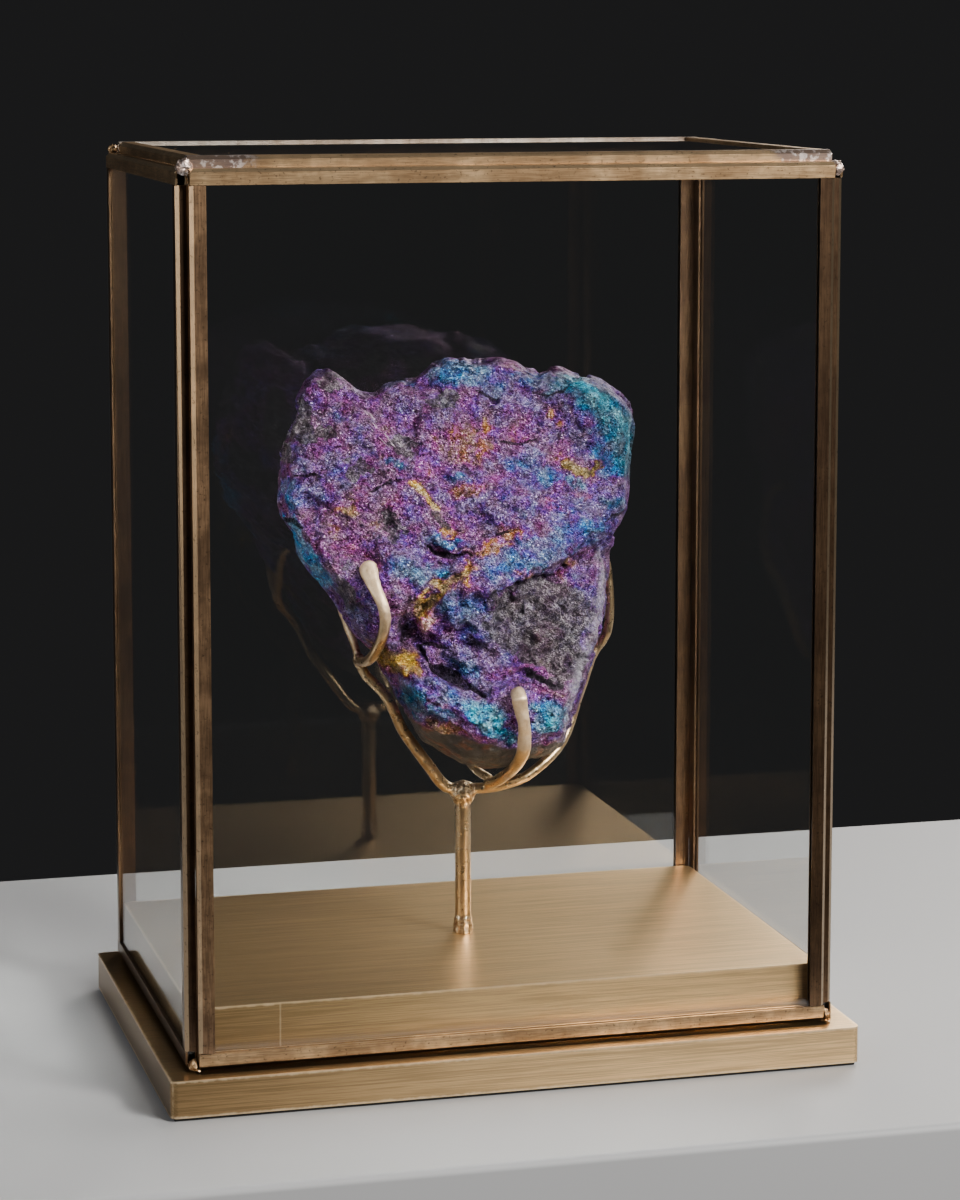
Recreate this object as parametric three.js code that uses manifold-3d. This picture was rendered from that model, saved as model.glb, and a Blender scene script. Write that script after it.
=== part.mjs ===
// A peacock ore specimen held by a hand-bent brass armature, inside a small glass display case
// whose panes are edged in brass channel and stand on a stepped, brass-clad base.
// Millimetres, +Z up. The case faces -Y. The origin is the middle of the base's underside.

import * as THREE from 'three';
import { mergeVertices } from 'three/addons/utils/BufferGeometryUtils.js';
import Module from 'manifold-3d';

const wasm = await Module();
wasm.setup();

// ---- Driving dimensions ----------------------------------------------------------------------

// base
const FELT_THICK = 1.5;
const FELT_INSET = 1.5;
const SLAB_WIDTH = 286;
const SLAB_DEPTH = 192;
const SLAB_HEIGHT = 15;
const SLAB_CORNER = 3;
const PLINTH_WIDTH = 259.5;
const PLINTH_DEPTH = 168;
const PLINTH_HEIGHT = 24.4;
const PLINTH_CORNER = 3;
const PLINTH_SETBACK = 3.6;
const SHEET = 1;
const CORE_GAP = 0.3;

// glass cover
const COVER_WIDTH = 260.5;
const COVER_DEPTH = 182;
const COVER_HEIGHT = 352.5;
const COVER_LIFT = 1.2;
const COVER_SETBACK = 2.8;
const GLASS = 3;
const CAME_WIDTH = 6.35;
const CAME_THICK = 4.7;
const CAME_WEB = 2;
const CAME_NOSE = 1.5;
const MITRE_GAP = 0.05;
const PANE_GAP = 0.1;
const BEAD_RADIUS = 3.4;

// armature
const ROD_RADIUS = 3.175;
const ROD_SIDES = 16;
const WIRE_SIDES = 10;
const HUB_HEIGHT = 103.6;
const HUB_DROP = 2.6;
const HUB_SIZE = [5.2, 4.6, 5.8];
const HUB_TAPER = 0.22;
const FOOT_HEIGHT = 6.5;
const FOOT_RADIUS = 4.1;
const SEAT = 0.9;
const CUT_GAP = 0.3;

// specimen, in its own picture plane: u to the right, w up, v away from the front
const ORE_CENTRE = [-1.5, 2.8, 199.5];
const ORE_TURN = -14.6;
const ORE_LEAN = -9;
const ORE_SPOKES = 96;
const ORE_RINGS = 22;
const FRONT_DEPTH = 40;
const BACK_DEPTH = 37;
const FRONT_SHOULDER = 0.92;
const BACK_SHOULDER = 0.8;
const SOFT_SIDE = -115;
const SOFTENING = 0.2;
const HOLLOW_DEPTH = 13;

// ---- Heights worked out from them ------------------------------------------------------------

const SLAB_BOTTOM = FELT_THICK;
const SLAB_TOP = SLAB_BOTTOM + SLAB_HEIGHT;
const PLINTH_TOP = SLAB_TOP + PLINTH_HEIGHT;
const COVER_BOTTOM = SLAB_TOP + COVER_LIFT;
const COVER_TOP = COVER_BOTTOM + COVER_HEIGHT;
const COVER_FRONT = COVER_SETBACK - COVER_DEPTH / 2;
const COVER_BACK = COVER_SETBACK + COVER_DEPTH / 2;
const SIDE_DEPTH = COVER_DEPTH - 2 * CAME_THICK;

// ---- Materials -------------------------------------------------------------------------------

function material(color, roughness, metalness) {
  return new THREE.MeshStandardMaterial({ color, roughness, metalness });
}

const antiqueBrass = material(0xa58352, 0.38, 1);
const cameBrass = material(0x9a6f45, 0.36, 1);
const rodBrass = material(0xb98c52, 0.34, 1);
const clawBrass = material(0xd9c39a, 0.42, 1);
const solder = material(0xb9aca4, 0.3, 1);
const board = material(0x9c7a52, 0.85, 0);
const felt = material(0x1b1a1a, 0.95, 0);
const ore = material(0x6b4a86, 0.35, 0.7);
const glass = material(0xf2f6f5, 0.03, 0);
glass.transparent = true;
glass.opacity = 0.15;

// ---- Helpers ---------------------------------------------------------------------------------

const object = new THREE.Group();
const smooth = THREE.MathUtils.smoothstep;
const lerp = THREE.MathUtils.lerp;
const radians = THREE.MathUtils.degToRad;

function addMesh(parent, name, geometry, look, position = [0, 0, 0]) {
  const mesh = new THREE.Mesh(geometry, look);
  mesh.name = name;
  mesh.position.set(...position);
  parent.add(mesh);
  return mesh;
}

function welded(geometry) {
  const plain = geometry.clone();
  plain.deleteAttribute('normal');
  plain.deleteAttribute('uv');
  return mergeVertices(plain, 1e-4);
}

function toSolid(geometry) {
  const merged = welded(geometry);
  const triVerts = new Uint32Array(merged.index.array);
  const vertProperties = new Float32Array(merged.attributes.position.array);
  return new wasm.Manifold(new wasm.Mesh({ numProp: 3, vertProperties, triVerts }));
}

function fromSolid(solid) {
  const mesh = solid.getMesh();
  const geometry = new THREE.BufferGeometry();
  geometry.setAttribute('position', new THREE.BufferAttribute(mesh.vertProperties, 3));
  geometry.setIndex(new THREE.BufferAttribute(mesh.triVerts, 1));
  return geometry;
}

function cut(geometry, tools) {
  let solid = toSolid(geometry);
  for (const tool of tools) {
    solid = solid.subtract(toSolid(tool));
  }
  return fromSolid(solid);
}

function roundedBlock(width, depth, height, corner) {
  const outline = new THREE.Shape();
  const x = width / 2;
  const y = depth / 2;
  outline.moveTo(corner - x, -y);
  outline.lineTo(x - corner, -y);
  outline.absarc(x - corner, corner - y, corner, -Math.PI / 2, 0);
  outline.absarc(x - corner, y - corner, corner, 0, Math.PI / 2);
  outline.absarc(corner - x, y - corner, corner, Math.PI / 2, Math.PI);
  outline.absarc(corner - x, corner - y, corner, Math.PI, 1.5 * Math.PI);
  return new THREE.ExtrudeGeometry(outline, { depth: height, bevelEnabled: false, curveSegments: 4 });
}

function box(width, depth, height) {
  return new THREE.BoxGeometry(width, depth, height).translate(0, 0, height / 2);
}

// ---- Base: felt pad, and two boards each clad in a folded brass tray --------------------------

function cladBoard(name, width, depth, height, corner, y, bottom) {
  const shell = roundedBlock(width, depth, height, corner);
  const inside = roundedBlock(width - 2 * SHEET, depth - 2 * SHEET, height, corner - SHEET);
  inside.translate(0, 0, -SHEET);
  addMesh(object, name, cut(shell, [inside]), antiqueBrass, [0, y, bottom]);
  const side = 2 * (SHEET + CORE_GAP + corner * 0.3);
  const core = box(width - side, depth - side, height - SHEET);
  addMesh(object, `${name}_core`, core, board, [0, y, bottom]);
}

function buildBase() {
  const pad = box(SLAB_WIDTH - 2 * FELT_INSET, SLAB_DEPTH - 2 * FELT_INSET, FELT_THICK);
  addMesh(object, 'base_felt', pad, felt);
  cladBoard('base_slab', SLAB_WIDTH, SLAB_DEPTH, SLAB_HEIGHT, SLAB_CORNER, 0, SLAB_BOTTOM);
  cladBoard('base_plinth', PLINTH_WIDTH, PLINTH_DEPTH, PLINTH_HEIGHT, PLINTH_CORNER,
    PLINTH_SETBACK, SLAB_TOP);
}

// ---- Cover: five panes, each framed in mitred brass channel -----------------------------------

// The channel's section: x runs from its nose to its lips, y through the pane, -y outside.
function cameSection() {
  const half = CAME_THICK / 2;
  const slot = GLASS / 2;
  return new THREE.Shape([
    new THREE.Vector2(0, CAME_NOSE - half),
    new THREE.Vector2(CAME_NOSE, -half),
    new THREE.Vector2(CAME_WIDTH, -half),
    new THREE.Vector2(CAME_WIDTH, -slot),
    new THREE.Vector2(CAME_WEB, -slot),
    new THREE.Vector2(CAME_WEB, slot),
    new THREE.Vector2(CAME_WIDTH, slot),
    new THREE.Vector2(CAME_WIDTH, half),
    new THREE.Vector2(0, half),
  ]);
}

// A strip lying along +Z from its nose corner, with both ends mitred at 45 degrees.
function cameStrip(length) {
  const strip = new THREE.ExtrudeGeometry(cameSection(), { depth: length, bevelEnabled: false });
  const at = strip.attributes.position;
  for (let i = 0; i < at.count; i += 1) {
    const inset = at.getX(i) + MITRE_GAP;
    at.setZ(i, at.getZ(i) > length / 2 ? length - inset : inset);
  }
  return strip;
}

function turned(x, y, z) {
  const turn = new THREE.Group();
  turn.rotation.set(x, y, z);
  return turn;
}

// A framed pane standing in its group's XZ plane, its outer face toward -Y, its foot at z = 0.
function framedPane(name, width, height) {
  const frame = new THREE.Group();
  const quarter = Math.PI / 2;
  const inset = 2 * (CAME_WEB + PANE_GAP);
  const pane = box(width - inset, GLASS, height - inset);
  addMesh(frame, `glass_${name}`, pane, glass, [0, 0, inset / 2]);
  const sides = [
    ['left', height, [-width / 2, 0, 0], [0, 0, 0]],
    ['top', width, [-width / 2, 0, height], [0, quarter, 0]],
    ['right', height, [width / 2, 0, height], [0, 2 * quarter, 0]],
    ['bottom', width, [width / 2, 0, 0], [0, 3 * quarter, 0]],
  ];
  for (const [side, length, corner, turn] of sides) {
    const arm = turned(...turn);
    arm.position.set(...corner);
    addMesh(arm, `came_${name}_${side}`, cameStrip(length), cameBrass);
    frame.add(arm);
  }
  return frame;
}

function placePane(name, width, height, position, rotation) {
  const frame = framedPane(name, width, height);
  frame.position.set(...position);
  frame.rotation.set(...rotation);
  object.add(frame);
  frame.updateMatrixWorld(true);
  return frame;
}

function buildCover() {
  const half = CAME_THICK / 2;
  const quarter = Math.PI / 2;
  const sideX = COVER_WIDTH / 2 + half;
  return [
    placePane('front', COVER_WIDTH, COVER_HEIGHT, [0, COVER_FRONT + half, COVER_BOTTOM], [0, 0, 0]),
    placePane('back', COVER_WIDTH, COVER_HEIGHT, [0, COVER_BACK - half, COVER_BOTTOM],
      [0, 0, 2 * quarter]),
    placePane('left', SIDE_DEPTH, COVER_HEIGHT, [-sideX, COVER_SETBACK, COVER_BOTTOM],
      [0, 0, -quarter]),
    placePane('right', SIDE_DEPTH, COVER_HEIGHT, [sideX, COVER_SETBACK, COVER_BOTTOM],
      [0, 0, quarter]),
    placePane('top', COVER_WIDTH, SIDE_DEPTH,
      [0, COVER_SETBACK - SIDE_DEPTH / 2, COVER_TOP + half], [-quarter, 0, 0]),
  ];
}

// Blobs of solder that fill the notch where three frames meet.
function buildBeads() {
  const reach = CAME_THICK / 2;
  const solids = [
    box(COVER_WIDTH, COVER_DEPTH, COVER_HEIGHT).translate(0, COVER_SETBACK, COVER_BOTTOM),
    box(COVER_WIDTH + 2 * CAME_THICK, SIDE_DEPTH, COVER_HEIGHT)
      .translate(0, COVER_SETBACK, COVER_BOTTOM),
    box(COVER_WIDTH, SIDE_DEPTH, CAME_THICK).translate(0, COVER_SETBACK, COVER_TOP),
    box(SLAB_WIDTH, SLAB_DEPTH, SLAB_HEIGHT).translate(0, 0, SLAB_BOTTOM),
  ];
  for (const [across, x] of [['left', -1], ['right', 1]]) {
    for (const [along, y] of [['front', -1], ['back', 1]]) {
      for (const [level, z] of [['top', COVER_TOP + 1], ['bottom', COVER_BOTTOM + 1]]) {
        const bead = new THREE.SphereGeometry(BEAD_RADIUS, 9, 6);
        bead.scale(1, 1, level === 'top' ? 1 : 1.2);
        bead.translate(x * (COVER_WIDTH / 2 + reach * 0.6),
          COVER_SETBACK + y * (SIDE_DEPTH / 2 + reach * 0.6), z);
        addMesh(object, `bead_${level}_${along}_${across}`, cut(bead, solids), solder);
      }
    }
  }
}

// ---- Specimen --------------------------------------------------------------------------------

// The outline seen from the front, in the picture plane, clockwise from the horn's tip.
const ORE_OUTLINE = [
  [-60, 83], [-54, 83], [-50, 79], [-46.5, 73.5], [-42, 72.5], [-37, 70], [-34, 73.5], [-29, 77.5],
  [-20.5, 78], [-10, 85.5], [-4, 87.5], [9.5, 85.5], [13, 87], [21.5, 87], [31, 82.5], [35, 79.5],
  [41, 83.5], [59, 78], [72.5, 68.5], [74.5, 63.5], [71, 39.5], [71, 25.5], [66.5, 16], [63, 4],
  [62, -14.5], [58, -33.5], [51, -53.5], [43.5, -78], [34, -81.5], [15.5, -86], [3.5, -84.5],
  [-16.5, -73.5], [-19.5, -69], [-34, -40.5], [-37.5, -35.5], [-43.5, -30], [-56, -10], [-63.5, -2],
  [-69, 6.5], [-69, 16], [-73, 18], [-76, 22], [-75.5, 39.5], [-76.5, 47], [-70.5, 60],
  [-68.5, 68.5], [-65, 78],
];

// Lines across the front face, each a run of [u, w] points from left to right.
const BROW_LINE = [[-80, -30], [-47, -26], [-16, -13], [5, -17], [22, -9], [42, 5], [65, 16], [90, 22]];
const LEDGE_LINE = [[-80, -36], [-24, -40], [-8, -45], [8, -53], [20, -52], [42, -47], [90, -46]];

// Pits, clefts and lumps of the front face: [u, w, along u, along w, turn, rise].
const FRONT_SPOTS = [
  [-21, -27, 7, 8, 10, -8],
  [-4, 7, 9, 2.6, -4, -4],
  [-6, -11, 12, 4, 32, -5],
  [-4, -46, 14, 3.4, -26, -8],
  [36, 54, 12, 5, -25, -4],
  [59, 38, 8, 4, 12, -3],
  [-9, -23, 7, 6, 0, 4],
  [14, -30, 10, 9, 20, 4],
  [-58, 44, 16, 12, 0, 4],
  [6, 62, 22, 7, 8, 3.5],
  [52, 68, 12, 8, -20, 4],
  [-30, 30, 16, 10, 15, 3],
  [26, 24, 18, 9, -12, 3],
  [-40, 4, 14, 10, -35, -2.5],
];

// The same for the back face.
const BACK_SPOTS = [
  [-30, 30, 26, 18, 20, 6],
  [28, 40, 20, 24, -30, 5],
  [20, -18, 24, 12, 10, -6],
  [-24, -24, 14, 16, 0, 4],
  [0, 66, 30, 8, 5, -5],
  [44, 2, 10, 18, 15, -4],
  [-56, 50, 12, 12, 0, -4],
];

function onLine(line, u) {
  let k = 1;
  while (k < line.length - 1 && line[k][0] < u) {
    k += 1;
  }
  const [from, to] = [line[k - 1], line[k]];
  return lerp(from[1], to[1], (u - from[0]) / (to[0] - from[0]));
}

function spotRise(spots, u, w) {
  let rise = 0;
  for (const [cu, cw, along, across, turn, height] of spots) {
    const angle = radians(turn);
    const x = (u - cu) * Math.cos(angle) + (w - cw) * Math.sin(angle);
    const y = (w - cw) * Math.cos(angle) - (u - cu) * Math.sin(angle);
    rise += height * Math.exp(-((x / along) ** 2) - (y / across) ** 2);
  }
  return rise;
}

function lumps(u, w) {
  const coarse = Math.sin(u * 0.19 + 1.3 * Math.sin(w * 0.11)) * Math.cos(w * 0.17 - 0.6);
  const fine = Math.sin(u * 0.41 - w * 0.29 + 0.8) * Math.sin(w * 0.37 + u * 0.13);
  return 1.5 * coarse + 0.9 * fine;
}

function frontFace(u, w) {
  const brow = onLine(BROW_LINE, u) - w;
  const ledge = w - onLine(LEDGE_LINE, u);
  const hollow = smooth(brow, -3, 9) * smooth(ledge, -4, 6) * smooth(u, -40, -10);
  const fallTop = 0.15 * Math.max(0, w + 10);
  const fallFoot = 0.22 * Math.max(0, -ledge - 6);
  const roll = 0.0021 * u * u;
  return FRONT_DEPTH - fallTop - fallFoot - roll - HOLLOW_DEPTH * hollow + spotRise(FRONT_SPOTS, u, w);
}

function backFace(u, w) {
  const fall = 0.0016 * u * u + 0.0013 * w * w + 0.1 * Math.max(0, -w - 20);
  return BACK_DEPTH - fall + spotRise(BACK_SPOTS, u, w);
}

function rimRadius(angle) {
  const [du, dw] = [Math.cos(angle), Math.sin(angle)];
  let reach = 0;
  ORE_OUTLINE.forEach(([u1, w1], k) => {
    const [u2, w2] = ORE_OUTLINE[(k + 1) % ORE_OUTLINE.length];
    const across = du * (w2 - w1) - dw * (u2 - u1);
    const t = (w1 * du - u1 * dw) / -across;
    const r = (u1 * (w2 - w1) - w1 * (u2 - u1)) / across;
    if (t >= 0 && t <= 1 && r > reach) {
      reach = r;
    }
  });
  return reach;
}

// How deep the specimen is at a share s of the way from its middle to its rim.
function oreDepth(u, w, s, front) {
  const face = front ? frontFace(u, w) : backFace(u, w);
  const soft = smooth(Math.cos(Math.atan2(w, u) - radians(SOFT_SIDE)), 0.2, 0.9);
  const shoulder = front ? FRONT_SHOULDER - SOFTENING * soft : BACK_SHOULDER;
  const fade = 1 - smooth(s, shoulder, 1);
  const edge = s <= shoulder ? 1 : Math.sqrt(1 - ((s - shoulder) / (1 - shoulder)) ** 2);
  return Math.max(0, face * edge * (1 - 0.12 * s * s) + lumps(u, front ? w : w + 40) * fade);
}

function oreSurface(u, w, front) {
  const s = Math.min(1, Math.hypot(u, w) / rimRadius(Math.atan2(w, u)));
  return oreDepth(u, w, s, front) * (front ? -1 : 1);
}

// A sphere whose poles are the front and back middles, drawn out to the outline and the depths.
function oreGeometry() {
  const geometry = welded(new THREE.SphereGeometry(1, ORE_SPOKES, ORE_RINGS));
  const at = geometry.attributes.position;
  for (let i = 0; i < at.count; i += 1) {
    const [x, y, z] = [at.getX(i), at.getY(i), at.getZ(i)];
    const polar = Math.acos(THREE.MathUtils.clamp(Math.abs(y), 0, 1)) / (Math.PI / 2);
    const s = 1 - (1 - polar) ** 1.35;
    const angle = Math.atan2(z, x);
    const reach = s * rimRadius(angle);
    const [u, w] = [reach * Math.cos(angle), reach * Math.sin(angle)];
    const onRim = Math.abs(y) < 1e-6;
    at.setXYZ(i, u, onRim ? 0 : Math.sign(y) * oreDepth(u, w, s, y < 0), w);
  }
  return geometry;
}

const orePlace = new THREE.Matrix4().compose(
  new THREE.Vector3(...ORE_CENTRE),
  new THREE.Quaternion().setFromEuler(
    new THREE.Euler(radians(ORE_LEAN), 0, radians(ORE_TURN), 'ZXY')),
  new THREE.Vector3(1, 1, 1));

// ---- Armature --------------------------------------------------------------------------------

// Points on a wire's route, given beside the specimen: free, or lifted off its front or back.
function free(u, v, w) {
  return new THREE.Vector3(u, v, w).applyMatrix4(orePlace);
}

function onFront(u, w, lift) {
  return free(u, oreSurface(u, w, true) - lift - SEAT, w);
}

function onBack(u, w, lift) {
  return free(u, oreSurface(u, w, false) + lift + SEAT, w);
}

// A wire bent through the points from its tip to its root. sizes holds [half width, half
// thickness] at equal steps along it, and the flat side of its tip faces along facing.
function wire(points, sizes, facing, steps) {
  const curve = new THREE.CatmullRomCurve3(points, false, 'centripetal');
  const rod = welded(new THREE.CylinderGeometry(1, 1, 1, WIRE_SIDES, steps));
  const stations = [];
  let side = null;
  for (let k = 0; k <= steps; k += 1) {
    const tangent = curve.getTangentAt(k / steps);
    if (side === null) {
      side = new THREE.Vector3().crossVectors(tangent, facing).normalize();
    } else {
      side.addScaledVector(tangent, -side.dot(tangent)).normalize();
    }
    const face = new THREE.Vector3().crossVectors(tangent, side).normalize();
    const along = (k / steps) * (sizes.length - 1);
    const i = Math.min(Math.floor(along), sizes.length - 2);
    stations.push({
      centre: curve.getPointAt(k / steps),
      side: side.clone(),
      face,
      wide: lerp(sizes[i][0], sizes[i + 1][0], along - i),
      thick: lerp(sizes[i][1], sizes[i + 1][1], along - i),
    });
  }
  const at = rod.attributes.position;
  for (let i = 0; i < at.count; i += 1) {
    const station = stations[Math.round((0.5 - at.getY(i)) * steps)];
    const place = station.centre.clone()
      .addScaledVector(station.side, at.getX(i) * station.wide)
      .addScaledVector(station.face, at.getZ(i) * station.thick);
    at.setXYZ(i, place.x, place.y, place.z);
  }
  return rod;
}

// A blob of braze, rippled by a share of its size and narrowed toward its foot by taper.
function lump(size, centre, ripple, taper) {
  const blob = welded(new THREE.SphereGeometry(1, 12, 9));
  const at = blob.attributes.position;
  for (let i = 0; i < at.count; i += 1) {
    const [x, y, z] = [at.getX(i), at.getY(i), at.getZ(i)];
    const swell = 1 + ripple * Math.sin(4 * x + 2 * z) * Math.cos(5 * y - 3 * z);
    const girth = swell * (1 + taper * z);
    at.setXYZ(i, x * size[0] * girth, y * size[1] * girth, z * size[2] * swell);
  }
  return blob.translate(...centre);
}

function grown(geometry, amount) {
  const copy = welded(geometry);
  copy.computeVertexNormals();
  const [at, normal] = [copy.attributes.position, copy.attributes.normal];
  for (let i = 0; i < at.count; i += 1) {
    at.setXYZ(i, at.getX(i) + amount * normal.getX(i), at.getY(i) + amount * normal.getY(i),
      at.getZ(i) + amount * normal.getZ(i));
  }
  copy.deleteAttribute('normal');
  return copy;
}

const forward = new THREE.Vector3(0, -1, 0).transformDirection(orePlace);
const backward = forward.clone().negate();
const hubPoint = new THREE.Vector3(0, COVER_SETBACK, HUB_HEIGHT);

function buildArmature() {
  const stemHeight = HUB_HEIGHT - HUB_DROP - PLINTH_TOP;
  const stem = new THREE.CylinderGeometry(ROD_RADIUS, ROD_RADIUS, stemHeight, ROD_SIDES, 1);
  stem.rotateX(Math.PI / 2);
  stem.translate(0, COVER_SETBACK, PLINTH_TOP + stemHeight / 2);

  const foot = new THREE.CylinderGeometry(ROD_RADIUS + 0.4, FOOT_RADIUS, FOOT_HEIGHT, ROD_SIDES, 1);
  foot.rotateX(Math.PI / 2);
  foot.translate(0, COVER_SETBACK, PLINTH_TOP + FOOT_HEIGHT / 2);

  const hub = lump(HUB_SIZE, [0, COVER_SETBACK, HUB_HEIGHT - HUB_DROP], 0.08, HUB_TAPER);

  const joint = free(-42.3, -2, -40);
  const leftArm = wire([
    joint, free(-39.4, -3, -46.1), free(-36, -3.5, -49.4), free(-32.6, -4, -52.7),
    free(-30, -4, -56), free(-28.2, -3, -59.3), free(-26.3, -1, -64), free(-23.8, 1.5, -69.5),
    free(-20.4, 4, -74.6), free(-16.4, 6, -80.1), free(-11.8, 9, -86.5), free(-7.4, 12, -92.5),
    free(-3.5, 14, -95.1), hubPoint,
  ], [[1.9, 1.9], [2.1, 2.1], [2.3, 2.3], [2.4, 2.4]], forward, 20);
  const leftJoint = lump([2.3, 2.5, 2.9], joint.toArray(), 0.08, 0);

  const leftClaw = wire([
    onFront(-38, 1.2, 1.3), onFront(-36.5, -4.3, 1.4), onFront(-34.1, -10.1, 1.6),
    onFront(-31.2, -16.6, 2), onFront(-30.2, -22.9, 2.6), onFront(-31.4, -29.3, 3.2),
    free(-35.5, -22, -37.4), free(-39.7, -9, -40.6), joint,
  ], [[2.4, 1], [3.9, 1.1], [2.4, 1.5], [2.1, 1.8], [2.1, 1.9], [2.1, 2], [1.7, 1.7]], forward, 22);

  const leftRear = wire([
    free(-53.2, 27, -8.6), free(-53.2, 22.5, -12.6), free(-51.2, 17.4, -17), free(-48.8, 12, -22.4), free(-46.5, 7, -28),
    free(-44.3, 3, -32.9), joint,
  ], [[1, 0.9], [1.2, 1.2], [1.5, 1.5], [1.5, 1.5]], backward, 14);

  const rightArm = wire([
    onBack(57, 10.4, 1.9), free(62.4, 19, 2.5), free(63.6, 20, -6), free(64.3, 22, -18.2),
    free(63.2, 24, -28.8), free(60.7, 26, -33.5), free(57.6, 26, -37.3), free(55.8, 25, -41.5),
    free(53.6, 24, -48.3), free(50.5, 24, -57.2), free(47.4, 23, -67.3), free(44.4, 21, -74.4),
    free(40.5, 19, -79.8), free(37, 17, -83.1), free(32.7, 15.5, -86.6), free(27.5, 14, -90.2),
    free(19.8, 14, -92.9), free(14.5, 15, -94.3), free(8.4, 15, -94.8), hubPoint,
  ], [[1.3, 1], [1.7, 1.7], [1.8, 1.8], [1.8, 1.8], [1.9, 1.9], [2, 2], [2.1, 2.1]], backward, 32);

  const frontClaw = wire([
    onFront(23.4, -50.8, 2.4), onFront(24.4, -54.2, 2), onFront(25.2, -59.4, 1.9),
    onFront(26.4, -64.5, 2.2), onFront(26.8, -69.6, 2.8), free(26.6, -31, -75.2),
    free(25, -24, -80.4), free(22.2, -11, -85.3), free(19.2, 1, -88.5), free(15.6, 8, -91.4),
    free(11.8, 13, -92.8),
  ], [[2.6, 1], [3.2, 1.1], [2.9, 1.3], [2.6, 1.7], [2.3, 2], [2.2, 2.2], [2.2, 2.2]], forward, 24);

  const backProng = wire([
    onBack(0.7, -66, 1.2), onBack(1, -72, 1.6), free(3, 30, -81.4), free(6.9, 23.5, -87.2),
    free(13, 16.5, -91),
  ], [[2.6, 0.8], [2, 1.3], [1.7, 1.6], [1.7, 1.7]], backward, 14);

  const solidHub = grown(hub, CUT_GAP);
  const solidArm = grown(rightArm, CUT_GAP);
  const solidJoint = grown(leftJoint, CUT_GAP);
  const solidLeftArm = grown(leftArm, CUT_GAP);
  addMesh(object, 'stem', cut(stem, [solidHub]), rodBrass);
  addMesh(object, 'foot_braze', cut(foot, [grown(stem, CUT_GAP)]), rodBrass);
  addMesh(object, 'hub_braze', hub, rodBrass);
  addMesh(object, 'left_joint_braze', leftJoint, rodBrass);
  addMesh(object, 'left_arm', cut(leftArm, [solidHub, solidJoint]), rodBrass);
  addMesh(object, 'left_front_claw', cut(leftClaw, [solidJoint, solidLeftArm]), clawBrass);
  addMesh(object, 'left_rear_prong', cut(leftRear, [solidJoint, grown(leftClaw, CUT_GAP)]), clawBrass);
  addMesh(object, 'right_arm', cut(rightArm, [solidHub]), rodBrass);
  addMesh(object, 'front_claw', cut(frontClaw, [solidHub, solidArm]), clawBrass);
  addMesh(object, 'back_prong', cut(backProng, [solidHub, solidArm]), clawBrass);
}

function buildOre() {
  const specimen = new THREE.Group();
  specimen.applyMatrix4(orePlace);
  addMesh(specimen, 'peacock_ore', oreGeometry(), ore);
  object.add(specimen);
}

buildBase();
buildCover();
buildBeads();
buildArmature();
buildOre();

export default object;
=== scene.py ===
"""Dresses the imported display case: a tarnished peacock ore stone, its brass wire stand, the
soldered brass case, the brushed base, the glass panes and a plain studio around them."""
import math

import bpy
import numpy as np
from bpy.props import FloatProperty, FloatVectorProperty, PointerProperty
from mathutils import Euler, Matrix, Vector, noise
from mathutils.bvhtree import BVHTree


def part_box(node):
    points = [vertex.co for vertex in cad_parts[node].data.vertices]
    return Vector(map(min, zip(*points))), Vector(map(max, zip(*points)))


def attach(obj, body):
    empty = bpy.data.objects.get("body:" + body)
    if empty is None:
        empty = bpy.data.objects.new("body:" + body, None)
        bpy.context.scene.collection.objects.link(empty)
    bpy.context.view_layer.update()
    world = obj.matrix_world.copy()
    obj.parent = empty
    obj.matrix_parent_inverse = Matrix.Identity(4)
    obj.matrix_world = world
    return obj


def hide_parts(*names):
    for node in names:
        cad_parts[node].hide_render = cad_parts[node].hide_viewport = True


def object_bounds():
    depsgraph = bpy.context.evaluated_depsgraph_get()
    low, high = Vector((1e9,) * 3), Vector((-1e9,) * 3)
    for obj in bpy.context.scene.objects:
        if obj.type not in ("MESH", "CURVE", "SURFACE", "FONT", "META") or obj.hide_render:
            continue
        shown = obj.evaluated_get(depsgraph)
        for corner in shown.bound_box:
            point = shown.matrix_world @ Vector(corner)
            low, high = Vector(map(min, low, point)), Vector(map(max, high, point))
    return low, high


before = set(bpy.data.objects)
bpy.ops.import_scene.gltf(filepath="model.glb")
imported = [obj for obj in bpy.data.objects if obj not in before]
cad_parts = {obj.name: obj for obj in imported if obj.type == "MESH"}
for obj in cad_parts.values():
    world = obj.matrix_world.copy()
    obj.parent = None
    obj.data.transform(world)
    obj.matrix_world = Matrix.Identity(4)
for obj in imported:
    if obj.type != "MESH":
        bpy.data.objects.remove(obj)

bl_info = {
    "name": "Peacock Ore Display Case",
    "version": (1, 0, 0),
    "blender": (4, 5, 0),
    "location": "View3D > Sidebar > Ore Case",
    "description": "Dresses the packed case: stone, wire stand, soldered strips, base, glass and studio",
    "category": "Object",
}

# ---------------------------------------------------------------- sizes

MM = 0.001
CAD_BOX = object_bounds()

SIDES = ("front", "back", "left", "right", "top")
STRIP_EDGES = ("left", "top", "right", "bottom")
STRIP_WIDTH = 6.35 * MM
STRIP_END_ROUND = 0.4 * MM
BRIGHT_ROUGHNESS = 0.34
DARK_ROUGHNESS = 0.28
# Where an upright scratch crosses the plinth's front.
PLINTH_SCRATCH = -96.5 * MM
# Strips shown in the lit colour of the brass; the others take a darker copy of it as painted shade.
LIT_STRIPS = (
    "came_front_top", "came_front_bottom",
    "came_left_top", "came_right_top", "came_top_left", "came_top_right", "came_top_bottom",
)
PANES = tuple("glass_" + side for side in SIDES)
CORES = ("base_slab_core", "base_plinth_core")
RODS = ("stem", "left_arm", "right_arm", "left_front_claw", "left_rear_prong", "front_claw", "back_prong")
BRAZES = ("foot_braze", "hub_braze", "left_joint_braze")
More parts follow.
